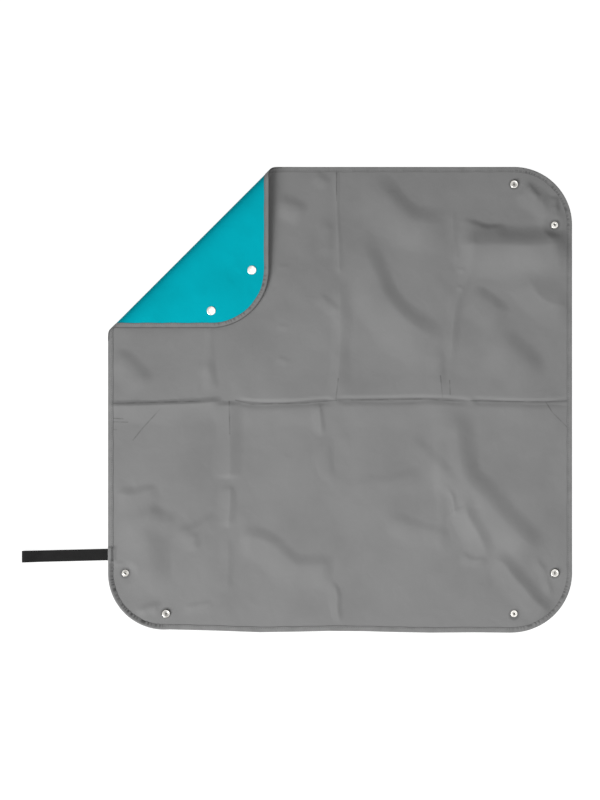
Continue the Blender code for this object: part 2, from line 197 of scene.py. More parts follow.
def tube_uv(along: Array, section: Array) -> Array:
    """Works out a tube's pattern coordinates, with v the sum of the section's sides up to a point.

    Args:
        along: Length along the tube of every ring.
        section: Points of its closed section, of shape (count, 2).

    Returns:
        An array of shape (rings, count + 1, 2).
    """
    steps = np.linalg.norm(np.diff(np.concatenate([section, section[:1]]), axis=0), axis=1)
    around = np.concatenate([[0.0], np.cumsum(steps)])
    return np.stack(np.meshgrid(along, around, indexing="ij"), axis=-1)


def hold(obj: Piece, name: str, values: Array) -> None:
    """Stores one value a point in the piece's mesh, for its finish."""
    kept = obj.data.attributes.new(name, "FLOAT", "POINT")
    kept.data.foreach_set("value", values.astype(np.float32))


def smoothstep(value: Array) -> Array:
    """Eases from 0 to 1: t t (3 - 2 t), with t the value held between 0 and 1."""
    t = np.clip(value, 0.0, 1.0)
    return t * t * (3.0 - 2.0 * t)


# The shape of the sheet


@dataclass(frozen=True)
class Fold:
    """A wrinkle that packing left in the cloth, in millimetres of the flat sheet.

    Attributes:
        line: Points along its crest.
        rise: Height of the crest over the sheet, below 0 for a valley.
        left: Width of the flank on the left of the line's direction.
        right: Width of the flank on its right.
        crisp: 0 for a rounded fold, 1 for a sharp crease.
        taper: Share of the length over which each end runs out.
    """

    line: tuple[tuple[float, float], ...]
    rise: float
    left: float
    right: float
    crisp: float = 0.0
    taper: float = 0.3

    def crest(self) -> Array:
        """Returns the line in metres, its bends cut twice at a quarter and three quarters of each piece."""
        points = np.array(self.line, float) * MM
        for _ in range(2):
            near = 0.75 * points[:-1] + 0.25 * points[1:]
            far = 0.25 * points[:-1] + 0.75 * points[1:]
            cut = np.stack([near, far], axis=1).reshape(-1, 2)
            points = np.concatenate([points[:1], cut[1:-1], points[-1:]])
        return points

    def measure(self, flat: Array) -> tuple[Array, Array, Array]:
        """Finds how far points lie from the crest.

        Each point is dropped on to the nearest piece of the crest: t = (p - a).(b - a) / |b - a|^2.

        Args:
            flat: Points of the flat sheet, of shape (count, 2), in metres.

        Returns:
            The indices of the points near the fold, their distance from the crest as a share of the
            flank's width, and their place along the crest from 0 to 1.
        """
        crest = self.crest()
        reach = max(self.left, self.right) * MM
        inside = (flat > crest.min(0) - reach) & (flat < crest.max(0) + reach)
        near = np.flatnonzero(inside.all(axis=1))
        start, along = crest[:-1], np.diff(crest, axis=0)
        length = np.linalg.norm(along, axis=1)
        offset = flat[near][:, None] - start[None]
        t = np.clip((offset * along).sum(-1) / length**2, 0.0, 1.0)
        gap = offset - t[..., None] * along
        span = (gap**2).sum(-1)
        best = span.argmin(axis=1)
        rank = np.arange(len(near))
        nearest, step = gap[rank, best], along[best]
        on_left = step[:, 0] * nearest[:, 1] - step[:, 1] * nearest[:, 0] > 0
        width = np.where(on_left, self.left, self.right) * MM
        run = np.concatenate([[0.0], np.cumsum(length)])
        place = (run[best] + t[rank, best] * length[best]) / run[-1]
        return near, np.clip(np.sqrt(span[rank, best]) / width, 0.0, 1.0), place

    def add_to(self, height: Array, crease: Array, flat: Array) -> None:
        """Adds the fold's height and its crease value to arrays that hold one value a point.

        A rounded flank is (1 + cos(pi u)) / 2 and a sharp one (1 - u)^2, with u the share of its width.
        Both ends run out by smoothstep.

        Args:
            height: Heights in metres, changed in place.
            crease: From -1 in a valley, where shade is painted, to 1 on a crest, where the coat is worn pale,
                changed in place.
            flat: Points of the flat sheet, of shape (count, 2), in metres.
        """
        near, share, place = self.measure(flat)
        rounded = (1.0 + np.cos(np.pi * share)) / 2.0
        sharp = (1.0 - share) ** 2
        ends = smoothstep(place / self.taper) * smoothstep((1.0 - place) / self.taper)
        height[near] += self.rise * MM * ends * (self.crisp * sharp + (1.0 - self.crisp) * rounded)
        # Crests get wear and valleys get painted shade, in the same value.
        wear_and_shade = np.sign(self.rise) * self.crisp * ends * np.clip(1.0 - 3.0 * share, 0.0, 1.0)
        stronger = np.abs(wear_and_shade) > np.abs(crease[near])
        crease[near] = np.where(stronger, wear_and_shade, crease[near])


# Every fold's crest, rise, left and right flanks, crispness and taper
SHEET_ROWS: tuple[tuple, ...] = (
    # The crease across the middle: a crest on the left, a valley in a low swell on the right
    (((-408, -12), (-362, -12), (-310, -10), (-241, -8), (-216, -5), (-198, -3)), 2.8, 11, 40, 0.5, 0.12),
    (((322, 373), (336, 352), (347, 346)), 1.2, 7, 12, 0.2),
    (((371, 351), (373, 320)), 1.7, 8, 16, 0.2),
    (((-391, -284), (-377, -284), (-369, -288)), 0.7, 5, 8, 0.5),
    (((-322, -362), (-305, -376), (-290, -384)), 1.0, 7, 12, 0.3),
    (((-205, -4), (-100, -6), (100, 0), (240, -3), (408, -3)), 1.5, 60, 60, 0.0, 0.08),
    (((-182, -1), (-152, -8), (-79, -7), (-40, -3), (-4, -2)), -2.2, 9, 13, 0.5, 0.12),
    (((-14, -1), (69, -1), (143, 1), (178, 0), (207, -3), (233, -3)), -2.2, 9, 13, 0.5, 0.1),
    (((225, -2), (300, -5), (354, -6), (408, -2)), -2.1, 9, 13, 0.5, 0.08),
    (((60, -2), (110, -6), (150, -3)), -0.6, 8, 14, 0.3),
    # The lengthwise creases
    (((-6, 396), (-6, 335), (-3, 280), (-1, 215)), 0.9, 9, 12, 0.6, 0.06),
    (((-22, 312), (-20, 280), (-22, 240)), 1.3, 15, 24),
    (((-1, 210), (1, 160), (2, 100), (-3, 40), (-5, 2)), 2.0, 25, 20, 0.4, 0.16),
    (((235, 236), (211, 192), (199, 165), (194, 120), (192, 60)), 1.3, 15, 18, 0.4, 0.2),
    (((172, 92), (170, 60), (174, 10)), 1.3, 14, 26, 0.1),
    (((193, 330), (196, 270), (202, 230)), 0.7, 12, 14, 0.3, 0.2),
    (((-224, 150), (-226, 90), (-224, 4)), 0.9, 14, 16, 0.1),
    (((-190, -2), (-190, -70), (-190, -140)), 2.6, 26, 34, 0.3, 0.08),
    (((-190, -143), (-189, -175), (-193, -226)), 1.7, 15, 30, 0.5, 0.2),
    (((-193, -230), (-195, -345)), 0.8, 14, 24, 0.3),
    (((-38, -2), (-33, -40), (-31, -66)), 1.6, 9, 18, 0.4),
    (((170, -300), (176, -210), (172, -100), (174, -30)), 0.6, 14, 18, 0.1),
    (((-26, -313), (-12, -318), (-4, -336), (-6, -364), (4, -396)), 1.5, 11, 20, 0.4),
    (((-24, -58), (-24, -100), (-20, -148)), 1.2, 16, 30),
    # Soft dunes and sharper folds, from the rear right round to the left edge
    (((50, 384), (83, 345), (107, 320), (132, 303), (192, 300)), 4.4, 34, 64, 0.1),
    (((26, 295), (51, 236), (77, 171), (118, 130), (160, 106), (186, 88)), 4.8, 32, 70, 0.2),
    (((196, 268), (233, 266), (281, 266), (324, 263), (362, 266), (398, 278)), 9.4, 38, 66, 0.2, 0.18),
    (((206, 304), (234, 300), (253, 291), (290, 297)), 2.4, 11, 26, 0.3),
    (((220, 186), (253, 167), (290, 138)), 2.8, 26, 48),
    (((262, 114), (303, 75), (350, 30)), 3.4, 36, 60),
    (((321, 222), (330, 195), (346, 174), (372, 161), (404, 160)), 3.0, 52, 46, 0.7),
    (((302, 366), (345, 342), (366, 316), (371, 290)), 2.8, 24, 30, 0.1, 0.2),
    (((198, -12), (203, -83), (213, -138), (240, -162), (282, -210), (348, -274)), 5.0, 38, 62, 0.2, 0.15),
    (((199, -170), (216, -181), (216, -195), (236, -228), (249, -255), (254, -280)), 3.4, 22, 40, 0.5),
    (((258, -272), (283, -284), (297, -305), (318, -326), (342, -356), (370, -374)), 3.8, 24, 36, 0.5, 0.18),
    (((339, -266), (340, -284), (354, -296), (360, -326), (366, -347)), 1.2, 9, 16, 0.5),
    (((-356, -160), (-345, -198), (-336, -235), (-330, -270), (-326, -300), (-325, -345)), 4.0, 44, 60, 0.1),
    (((-340, -188), (-312, -206), (-283, -222)), 1.8, 22, 30),
    (((-290, -226), (-262, -233), (-240, -222), (-210, -196)), 1.9, 18, 30, 0.2),
    (((-254, -228), (-250, -264)), 1.1, 14, 24, 0.2),
    (((-272, -363), (-245, -358), (-215, -351)), 0.9, 10, 18, 0.3),
    (((-350, -374), (-333, -362), (-304, -358)), 1.8, 14, 12, 0.2),
    (
        ((-178, -236), (-140, -240), (-116, -251), (-95, -273), (-73, -290), (-4, -285)),
        2.8, 24, 50, 0.2, 0.15,
    ),
    (((14, -164), (43, -144), (90, -146), (160, -124)), 1.2, 20, 34, 0.1),
    (((70, -206), (130, -222), (200, -244)), 1.4, 20, 34, 0.1),
    (((112, -60), (148, -96), (190, -138), (198, -170)), 1.4, 20, 40, 0.1),
    (((178, -150), (193, -162), (200, -205)), 1.0, 8, 14, 0.6),
    (((205, -267), (231, -281), (257, -276)), 1.2, 10, 18, 0.3),
    (((-393, 84), (-360, 53), (-328, 16)), 2.6, 26, 40),
    (((-392, -163), (-350, -167), (-308, -150)), 2.2, 17, 34, 0.2),
    # Small bumps and short creases beside the turned corner
    (((-112, 339), (-82, 330), (-56, 316)), 2.4, 22, 32),
    (((-46, 388), (-30, 378), (-18, 364)), 1.2, 14, 20),
    (((-40, 182), (-20, 165), (0, 146)), 1.2, 12, 20, 0.2),
    (((-110, 228), (-96, 227), (-86, 228)), 0.6, 8, 12, 0.3),
    (((-110, 124), (-98, 125), (-86, 122)), 0.6, 8, 12, 0.3),
    (((-112, 72), (-98, 68), (-86, 60)), 0.8, 8, 14, 0.4),
    (((-236, 70), (-222, 40), (-216, 8)), 1.2, 16, 24),
    (((202, 223), (217, 222)), 0.8, 5, 8, 0.6),
    (((201, 192), (214, 191)), 0.8, 5, 8, 0.6),
)
SHEET_FOLDS = tuple(Fold(*row) for row in SHEET_ROWS)

# The turned corner's bend, in metres: where it starts from the middle, the radius at which the cloth keeps
# its length, and where on the flat sheet its outermost line is, a quarter of a turn on
BEND_START = 0.355514
NEUTRAL = 0.00845
FOLD_CREST = BEND_START + NEUTRAL * math.pi / 2.0

# Painted shade: thin dark lines along the sharp creases, in millimetres of the flat sheet
CREASE_SHADE_LINES: tuple[tuple[float, float, float, float], ...] = (
    (-6, 397, -6, 342),
    (-3, 35, -7, 1),
    (173, 40, 177, 2),
    (189, 32, 190, 8),
    (-180, -2, -152, -9),
    (-152, -9, -60, -7),
    (-60, -7, -6, -2),
    (20, -2, 143, 0),
    (143, 0, 205, -4),
    (225, -3, 354, -5),
    (354, -5, 398, -3),
    (354, -4, 366, -23),
    (366, -23, 393, -50),
    (-191, -4, -190, -60),
    (-310, -17, -340, -50),
    (-340, -50, -357, -71),
    (-398, -8, -241, -4),
    (-398, -33, -374, -34),
    (-398, -39, -366, -40),
    (-398, -52, -384, -53),
)

# Soft ripples in the turned-over corner, which run across its bend
FLAP_ROWS: tuple[tuple, ...] = (
    (((-300, 352), (-322, 330)), 0.5, 16, 16),
    (((-372, 225), (-346, 262), (-330, 300)), -0.6, 18, 24),
    (((-225, 372), (-262, 346), (-300, 330)), -0.6, 24, 18),
)
FLAP_FOLDS = tuple(Fold(*row) for row in FLAP_ROWS)


@dataclass
class Cloth:
    """The sheet's flat outline and the way from a flat point to its place on the mat.

    Attributes:
        half: Half of the square's side.
        corner: Radius of its corners.
        bend_start: Distance from the middle at which the corner starts to roll over.
        bend_radius: Outer radius of the bend.
        neutral: Radius at which the rolled cloth keeps its length.
        snap_inset: Distance of a press stud from the nearer edge.
        snap_reach: Its distance from the other edge.
        cap_height: How far the caps hold the sheet off the floor.
        cap_left: How much of that is left away from them.
        sink_reach: Distance from a press stud within which most of the rest goes.
        fold_free: Distance from a press stud up to which there are no folds.
        fold_fade: Distance over which they then rise.
        waves: Heights of the two low waves that keep the cloth between the folds from being flat.
        seam: Distance from the middle at which the turned corner's pieces start, under the bend.
        seam_fade: Distance over which the folds run out before it.
        flap_fade: Distance past the bend at which the corner's ripples start, and over which they rise.
        strap_y: Middle of the webbing's root on the left edge.
        strap_half: Half of the width that the root lifts.
        strap_in: Where across the mat the root stops lifting.
        strap_lift: Height by which the root lifts the binding.
        lowest: Height at which the binding rests on the floor.
        depth: How much deeper the folds are than their list says.
        edge_run: Places along the front edge, in millimetres.
        edge_shift: How far the cut wanders from straight there, in millimetres.
        edge_fade: Distance from the edge over which that fades.
    """

    half: float = 0.400
    corner: float = 0.100
    bend_start: float = BEND_START
    bend_radius: float = 0.009
    neutral: float = NEUTRAL
    snap_inset: float = 0.030
    snap_reach: float = 0.100
    cap_height: float = 0.0016
    cap_left: float = 0.0005
    sink_reach: float = 0.045
    fold_free: float = 0.007
    fold_fade: float = 0.017
    waves: tuple[float, float] = (0.00030, 0.00022)
    seam: float = 0.354
    seam_fade: float = 0.030
    flap_fade: float = 0.020
    strap_y: float = -0.2681
    strap_half: float = 0.0150
    strap_in: float = -0.385
    strap_lift: float = 0.00145
    lowest: float = -0.00100
    depth: float = 1.22
    edge_run: tuple[float, ...] = (-400, -330, -293, -215, -138, -70, -20, 40, 100, 155, 230, 293, 340, 400)
    edge_shift: tuple[float, ...] = (0, 1.6, 2.6, 0.6, -2.2, -1.2, 0, -0.4, -2.0, -3.0, -2.4, -3.0, -1.0, 0)
    edge_fade: float = 0.050

    def bend_angle(self) -> float:
        """Returns the angle through which the corner is rolled, as the frame's joint has it."""
        joint = next(j for j in frame["joints"] if j["name"] == "corner_fold")
        return math.radians(joint["range_deg"][1])

    def across(self, flat: Array) -> Array:
        """Returns the distance of flat points from the middle, towards the turned corner."""
        return (flat[:, 1] - flat[:, 0]) / math.sqrt(2.0)

    def snaps(self) -> Array:
        """Returns the places of the six press studs on the flat sheet, clockwise from the rear right."""
        edge, side = self.half - self.snap_inset, self.half - self.snap_reach
        right = [(side, edge), (edge, side), (edge, -side), (side, -edge)]
        return np.array(right + [(-side, -edge), (-edge, -side)])

    def relief_wear_and_shade(self, flat: Array) -> tuple[Array, Array]:
        """Works out the sheet's height over its flat place, and its crease value: wear on crests, painted
        shade in valleys.

        The sheet sinks to the floor away from its caps by 1 - exp(-(d / sink_reach)^2), with d the distance
        to the nearest press stud. The folds and two products of sines add to that, and fade by smoothstep
        close to a press stud, before the seam and over the strap's root.

        Args:
            flat: Points of the flat sheet, of shape (count, 2), in metres.

        Returns:
            Height in metres and the crease value from -1 to 1, one of each a point.
        """
        height, wear_and_shade = np.zeros(len(flat)), np.zeros(len(flat))
        for fold in SHEET_FOLDS:
            fold.add_to(height, wear_and_shade, flat)
        height *= self.depth
        x, y = flat[:, 0], flat[:, 1]
        height += self.waves[0] * np.sin(x / 0.021 + 1.3 * np.sin(y / 0.034)) * np.sin(y / 0.026 + 0.7)
        height += self.waves[1] * np.sin((x + y) / 0.0135 + np.sin(x / 0.03)) * np.sin((x - 0.6 * y) / 0.041)
        gap = np.linalg.norm(flat[:, None] - self.snaps()[None], axis=-1).min(axis=1)
        height *= smoothstep((gap - self.fold_free) / self.fold_fade)
        height -= (self.cap_height - self.cap_left) * (1.0 - np.exp(-((gap / self.sink_reach) ** 2)))
        over = smoothstep((self.strap_half - np.abs(y - self.strap_y)) / 0.0045)
        over *= smoothstep((self.strap_in - x) / 0.006)
        height = height * (1.0 - over) + self.strap_lift * over
        towards = self.across(flat)
        stay = smoothstep((self.seam - 0.002 - towards) / self.seam_fade)
        height = np.maximum(height * stay, self.lowest)
        wear_and_shade *= stay
        turned = np.zeros(len(flat))
        for fold in FLAP_FOLDS:
            fold.add_to(turned, np.zeros(len(flat)), flat)
        height += turned * smoothstep((towards - self.bend_start - self.flap_fade) / self.flap_fade)
        return height, wear_and_shade

    def drift(self, flat: Array) -> Array:
        """Moves points in the plane, so that the front edge waves as the cut does.

        Args:
            flat: Points of the flat sheet, of shape (count, 2), in metres.

        Returns:
            The points, moved by the cut's shift times exp(-(d / edge_fade)^2), with d their distance from
            the front edge.
        """
        shift = np.interp(flat[:, 0], np.array(self.edge_run) * MM, np.array(self.edge_shift) * MM)
        fade = np.exp(-(((flat[:, 1] + self.half) / self.edge_fade) ** 2))
        return flat + np.stack([np.zeros(len(flat)), shift * fade], axis=1)

    def place(self, flat: Array, height: Array) -> Array:
        """Takes points of the flat sheet to their place on the mat.

        Past the bend's start a point turns about the bend's centre by its distance over the neutral
        radius, and past the bend's end it goes straight on.

        Args:
            flat: Points of the flat sheet, of shape (count, 2).
            height: Their height through the cloth.

        Returns:
            Points in the row frame, of shape (count, 3).
        """
        relief, _ = self.relief_wear_and_shade(flat)
        moved = self.drift(flat)
        level = height + relief
        past = self.across(moved)
        along = (moved[:, 0] + moved[:, 1]) / math.sqrt(2.0)
        whole = self.bend_angle()
        angle = np.clip((past - self.bend_start) / self.neutral, 0.0, whole)
        straight = np.clip(past - self.bend_start - self.neutral * whole, 0.0, None)
        reach = self.bend_radius - level
        rolled = self.bend_start + reach * np.sin(angle) + straight * np.cos(angle)
        p = np.where(angle > 0.0, rolled, past)
        z = np.where(angle > 0.0, self.bend_radius - reach * np.cos(angle) + straight * np.sin(angle), level)
        return np.stack([(along - p) / math.sqrt(2.0), (along + p) / math.sqrt(2.0), z], axis=1)

    def quarter(self) -> tuple[float, float]:
        """Returns the length of a straight side, and of a quarter of the edge: a side and its arc."""
        side = 2.0 * (self.half - self.corner)
        return side, side + self.corner * math.pi / 2.0

    def cut(self) -> float:
        """Returns how far from the middle line the seam meets the edge: seam sqrt(2) - half."""
        return self.seam * math.sqrt(2.0) - self.half

    def outline(self, run: Array, inset: Array) -> Array:
        """Finds points beside the edge from their distance along it and in from it.

        Each quarter is a straight side of 2 (half - corner) and then an arc, turned by 90 degrees from
        the quarter before. It starts on the left side and goes round anticlockwise.

        Args:
            run: Distance along the edge.
            inset: Distance in from the edge.

        Returns:
            Flat points of shape (count, 2).
        """
        side, quarter = self.quarter()
        turn = np.floor(run / quarter)
        local = run - turn * quarter
        angle = np.clip((local - side) / self.corner, 0.0, math.pi / 2.0)
        inner = self.half - self.corner
        x = -inner - (self.corner - inset) * np.cos(angle)
        y = inner - np.clip(local, 0.0, side) - (self.corner - inset) * np.sin(angle)
        cosine, sine = np.cos(turn * math.pi / 2.0), np.sin(turn * math.pi / 2.0)
        return np.stack([x * cosine - y * sine, x * sine + y * cosine], axis=1)

    def runs(self, side: Side) -> tuple[float, float]:
        """Finds where along the edge the binding of a part starts and ends.

        Args:
            side: EDGE for the flat sheet or CORNER for the turned one.

        Returns:
            Both distances along the edge.
        """
        _, quarter = self.quarter()
        first = self.half - self.corner - self.cut()
        last = 3.0 * quarter + self.half - self.corner + self.cut()
        return (first, last) if side is Side.EDGE else (last, 4.0 * quarter + first)

    def bend_towards(self, piece: Piece, side: Side) -> None:
        """Bakes the piece's place into its mesh, the same way for every part of the mat.

        Args:
            piece: The piece, whose mesh is final.
            side: The part of the mat that it belongs to.
        """
        if side is not Side.CORNER:
            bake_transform(piece)
            return
        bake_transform(piece)


@dataclass
class RigidCloth(Cloth):
    """The sheet without folds or waves, for what is stiff and sits on it."""

    def relief_wear_and_shade(self, flat: Array) -> tuple[Array, Array]:
        """Returns no height and no crease value."""
        return np.zeros(len(flat)), np.zeros(len(flat))


# Materials


def linear(code: str) -> tuple[float, float, float, float]:
    """Turns an sRGB colour into a linear one: c / 12.92 when dark, else ((c + 0.055) / 1.055)^2.4.

    Args:
        code: The colour in hex, with its hash sign.

    Returns:
        Red, green, blue and an alpha of 1, as a shader takes them.
    """
    parts = [int(code[i : i + 2], 16) / 255.0 for i in (1, 3, 5)]
    low = [c / 12.92 if c <= 0.04045 else ((c + 0.055) / 1.055) ** 2.4 for c in parts]
    return (low[0], low[1], low[2], 1.0)


class Nodes:
    """A node tree in the making, with a short method for each kind of node that is used often."""

    def __init__(self, owner: Material | bpy.types.World) -> None:
        """Empties the tree of a material or of the world."""
        owner.use_nodes = True
        self.tree = owner.node_tree
        self.tree.nodes.clear()

    def add(self, kind: str, links: dict | None = None, **settings: object) -> bpy.types.Node:
        """Adds a shader node.

        Args:
            kind: The node's type, without its prefix.
            links: What each input takes: an output to link, or a value to set.
            settings: The node's own properties.

        Returns:
            The new node.
        """
        node = self.tree.nodes.new(f"ShaderNode{kind}")
        for name, value in settings.items():
            setattr(node, name, value)
        for key, value in (links or {}).items():
            if isinstance(value, Socket):
                self.tree.links.new(value, node.inputs[key])
            else:
                node.inputs[key].default_value = value
        return node

    def math(self, operation: str, *values: Socket | float, clamp: bool = False) -> Socket:
        """Works out one operation, and returns its result."""
        return self.add("Math", dict(enumerate(values)), operation=operation, use_clamp=clamp).outputs[0]

    def vector(self, operation: str, *values: Socket | Point) -> bpy.types.NodeOutputs:
        """Works out one operation on vectors, and returns its outputs: a vector and a value."""
        return self.add("VectorMath", dict(enumerate(values)), operation=operation).outputs

    def least(self, values: list[Socket]) -> Socket:
        """Returns the smallest of several values."""
        return reduce(lambda first, second: self.math("MINIMUM", first, second), values)

    def span(self, value: Socket, low: float, high: float, start: float = 0.0, end: float = 1.0) -> Socket:
        """Maps start to low and end to high, with a straight line between, and returns the result."""
        ends = {"Value": value, "From Min": start, "From Max": end, "To Min": low, "To Max": high}
        return self.add("MapRange", ends).outputs["Result"]

    def mix(self, share: Socket, first: Socket, second: str) -> Socket:
        """Mixes a colour with a second one, given in hex, and returns the result."""
        links = {"Factor": share, "A": first, "B": linear(second)}
        return self.add("Mix", links, data_type="RGBA").outputs["Result"]

    def ramp(self, source: Socket, *stops: tuple[float, str]) -> Socket:
        """Maps a value to colour.

        Args:
            source: The value.
            stops: Places from 0 to 1 with their colours in hex; the colour between two is a straight mix.

        Returns:
            The colour.
        """
        node = self.add("ValToRGB", {"Fac": source})
        elements = node.color_ramp.elements
        while len(elements) < len(stops):
            elements.new(0.5)
        for element, (place, code) in zip(elements, stops):
            element.position = place
            element.color = linear(code)
        return node.outputs["Color"]

    def noise(self, place: Socket, scale: float, detail: float, **more: float) -> Socket:
        """Adds soft noise, and returns its value."""
        links = {"Vector": place, "Scale": scale, "Detail": detail, **more}
        return self.add("TexNoise", links).outputs["Fac"]

    def bump(self, height: Socket, strength: float, distance: float, **more: Socket) -> Socket:
        """Turns a height into a normal, and returns it."""
        links = {"Height": height, "Strength": strength, "Distance": distance, **more}
        return self.add("Bump", links).outputs["Normal"]

    def waves(self, value: Socket, pitch_mm: float) -> Socket:
        """Returns a sine of a length in metres, with the given pitch."""
        return self.math("SINE", self.math("MULTIPLY", value, 2000 * math.pi / pitch_mm))

    def parts(self, vector: Socket) -> tuple[Socket, Socket]:
        """Returns the first two parts of a vector."""
        split = self.add("SeparateXYZ", {0: vector}).outputs
        return split["X"], split["Y"]

    def pattern(self) -> Socket:
        """Returns the piece's own UV map."""
        return self.add("UVMap", uv_map="pattern").outputs["UV"]

    def attribute(self, name: str) -> Socket:
        """Returns a value that the mesh holds at its points."""
        return self.add("Attribute", attribute_name=name).outputs["Fac"]


@dataclass(frozen=True)
class Finish:
    """What every finish shares: a material whose principled shader takes the inputs that it gives.

    Attributes:
        name: Name of the material.
    """

    name: str

    def inputs(self, nodes: Nodes) -> dict[str, Socket | float]:
        """Adds the finish's own nodes.

        Args:
            nodes: The material's nodes.

        Returns:
            What the shader takes, by the name of its input.
        """
        raise NotImplementedError

    def build(self) -> Material:
        """Makes the material."""
        material = bpy.data.materials.new(self.name)
        nodes = Nodes(material)
        shader = nodes.add("BsdfPrincipled", self.inputs(nodes))
        nodes.add("OutputMaterial", {"Surface": shader.outputs["BSDF"]})
        return material


@dataclass(frozen=True)
class CoatedCloth(Finish):
    """Polyester plain weave with a polyurethane coat, rolled on: a matt skin in which the weave still shows.

    Attributes:
        low: Colour of its darker patches.
        base: Its own colour.
        high: Colour of its lighter patches.
        worn: Colour along a crest that was folded, where the coat has stretched and gone pale.
        shade_colour: Painted shade for valleys, crease lines, rings round the press studs and the turned
            bend.
        roughness: Roughness of the coat.
        specular: Strength of its gloss.
        lines: Ends of thin lines of painted shade along the sharp creases, in millimetres of the flat sheet.
        pitch_mm: Thread spacing. Real thread is 0.4 mm apart; it is drawn coarser so that it shows.
        bared: Colour of the scrim under the coat, where the turned corner's fold has worn it through.
        fittings: Flat places of the press studs, in metres, with painted shade round each.
    """

    low: str
    base: str
    high: str
    worn: str
    shade_colour: str
    roughness: float
    specular: float
    lines: tuple[tuple[float, float, float, float], ...] = ()
    pitch_mm: float = 0.9
    bared: str = ""
    fittings: tuple[tuple[float, float], ...] = ()

    def worn_edge(self, nodes: Nodes, uv: Socket) -> Socket:
        """Marks the turned fold's outermost line, where |(v - u) / sqrt(2) - crest| is under 2.1 mm.

        Args:
            nodes: The material's nodes.
            uv: The flat place, one unit a metre, with the middle of the sheet at 0.5.

        Returns:
            1 on that line, and 0 from 2.5 mm off it.
        """
        x, y = nodes.parts(uv)
        across = nodes.math("MULTIPLY", nodes.math("SUBTRACT", y, x), math.sqrt(0.5))
        gap = nodes.math("ABSOLUTE", nodes.math("SUBTRACT", across, FOLD_CREST))
        return nodes.span(gap, 1.0, 0.0, 0.0021, 0.0025)

    def crease_shade_lines(self, nodes: Nodes, uv: Socket) -> Socket:
        """Draws thin lines by their distance: the point is dropped on to each segment and the least is kept.

        Args:
            nodes: The material's nodes.
            uv: The flat place, one unit a metre, with the middle of the sheet at 0.5.

        Returns:
            A value of 1 on a line, which falls to 0 at 1.9 mm from it.
        """
        gaps = []
        for x0, y0, x1, y1 in self.lines:
            along = ((x1 - x0) * MM, (y1 - y0) * MM, 0.0)
            scale = along[0] ** 2 + along[1] ** 2
            offset = nodes.vector("SUBTRACT", uv, (x0 * MM + 0.5, y0 * MM + 0.5, 0.0))[0]
            place = nodes.vector("DOT_PRODUCT", offset, tuple(part / scale for part in along))["Value"]
            held = nodes.add("Clamp", {"Value": place}).outputs[0]
            foot = nodes.add("VectorMath", {0: along, "Scale": held}, operation="SCALE").outputs[0]
            gaps.append(nodes.vector("DISTANCE", offset, foot)["Value"])
        return nodes.math("POWER", nodes.span(nodes.least(gaps), 1.0, 0.0, 0.0, 0.0019), 1.6)

    def fitting_shade(self, nodes: Nodes, uv: Socket) -> Socket:
        """Paints shade on the coat beside the press studs by its distance from the nearest one's axis.

        Args:
            nodes: The material's nodes.
            uv: The flat place, one unit a metre, with the middle of the sheet at 0.5.

        Returns:
            0.45 up to 7 mm, falling to 0 at 11 mm.
        """
        places = [(x + 0.5, y + 0.5, 0.0) for x, y in self.fittings]
        gaps = [nodes.vector("DISTANCE", uv, place)["Value"] for place in places]
        return nodes.span(nodes.least(gaps), 0.45, 0.0, 0.0070, 0.0110)

    def inputs(self, nodes: Nodes) -> dict[str, Socket | float]:
        """Gives clouded colour, worn crests, painted shade and the weave, a product of two sines, on the flat
        cloth.

        Args:
            nodes: The material's nodes.

        Returns:
            What the shader takes, by the name of its input.
        """
        uv, crease = nodes.pattern(), nodes.attribute("crease")
        patches = nodes.noise(uv, 9.0, 3.0, Roughness=0.5)
        shown = nodes.ramp(patches, (0.30, self.low), (0.50, self.base), (0.72, self.high))
        shown = nodes.mix(nodes.math("MULTIPLY", crease, 0.35, clamp=True), shown, self.worn)
        # Painted shade in the valleys, where the crease value is below 0.
        shown = nodes.mix(nodes.math("MULTIPLY", crease, -0.7, clamp=True), shown, self.shade_colour)
        # Painted shade along the sharp creases, broken into dashes by noise.
        if self.lines:
            broken = nodes.span(nodes.noise(uv, 55.0, 2.0), 0.12, 0.62, 0.35, 0.6)
            drawn = nodes.math("MULTIPLY", self.crease_shade_lines(nodes, uv), broken)
            shown = nodes.mix(drawn, shown, self.shade_colour)
        # Painted shade in a ring round each press stud.
        if self.fittings:
            shown = nodes.mix(self.fitting_shade(nodes, uv), shown, self.shade_colour)
        if self.bared:
            shown = nodes.mix(self.worn_edge(nodes, uv), shown, self.bared)
        rough = nodes.span(nodes.noise(uv, 260.0, 2.0), self.roughness - 0.07, self.roughness + 0.07)
        warp, weft = (nodes.waves(part, self.pitch_mm) for part in nodes.parts(uv))
        puckers = nodes.bump(nodes.noise(uv, 38.0, 4.0, Distortion=0.6), 0.35, 0.0016)
        weave = nodes.bump(nodes.math("MULTIPLY", warp, weft), 0.25, 0.00006, Normal=puckers)
        return {"Base Color": shown, "Specular IOR Level": self.specular, "Roughness": rough, "Normal": weave}


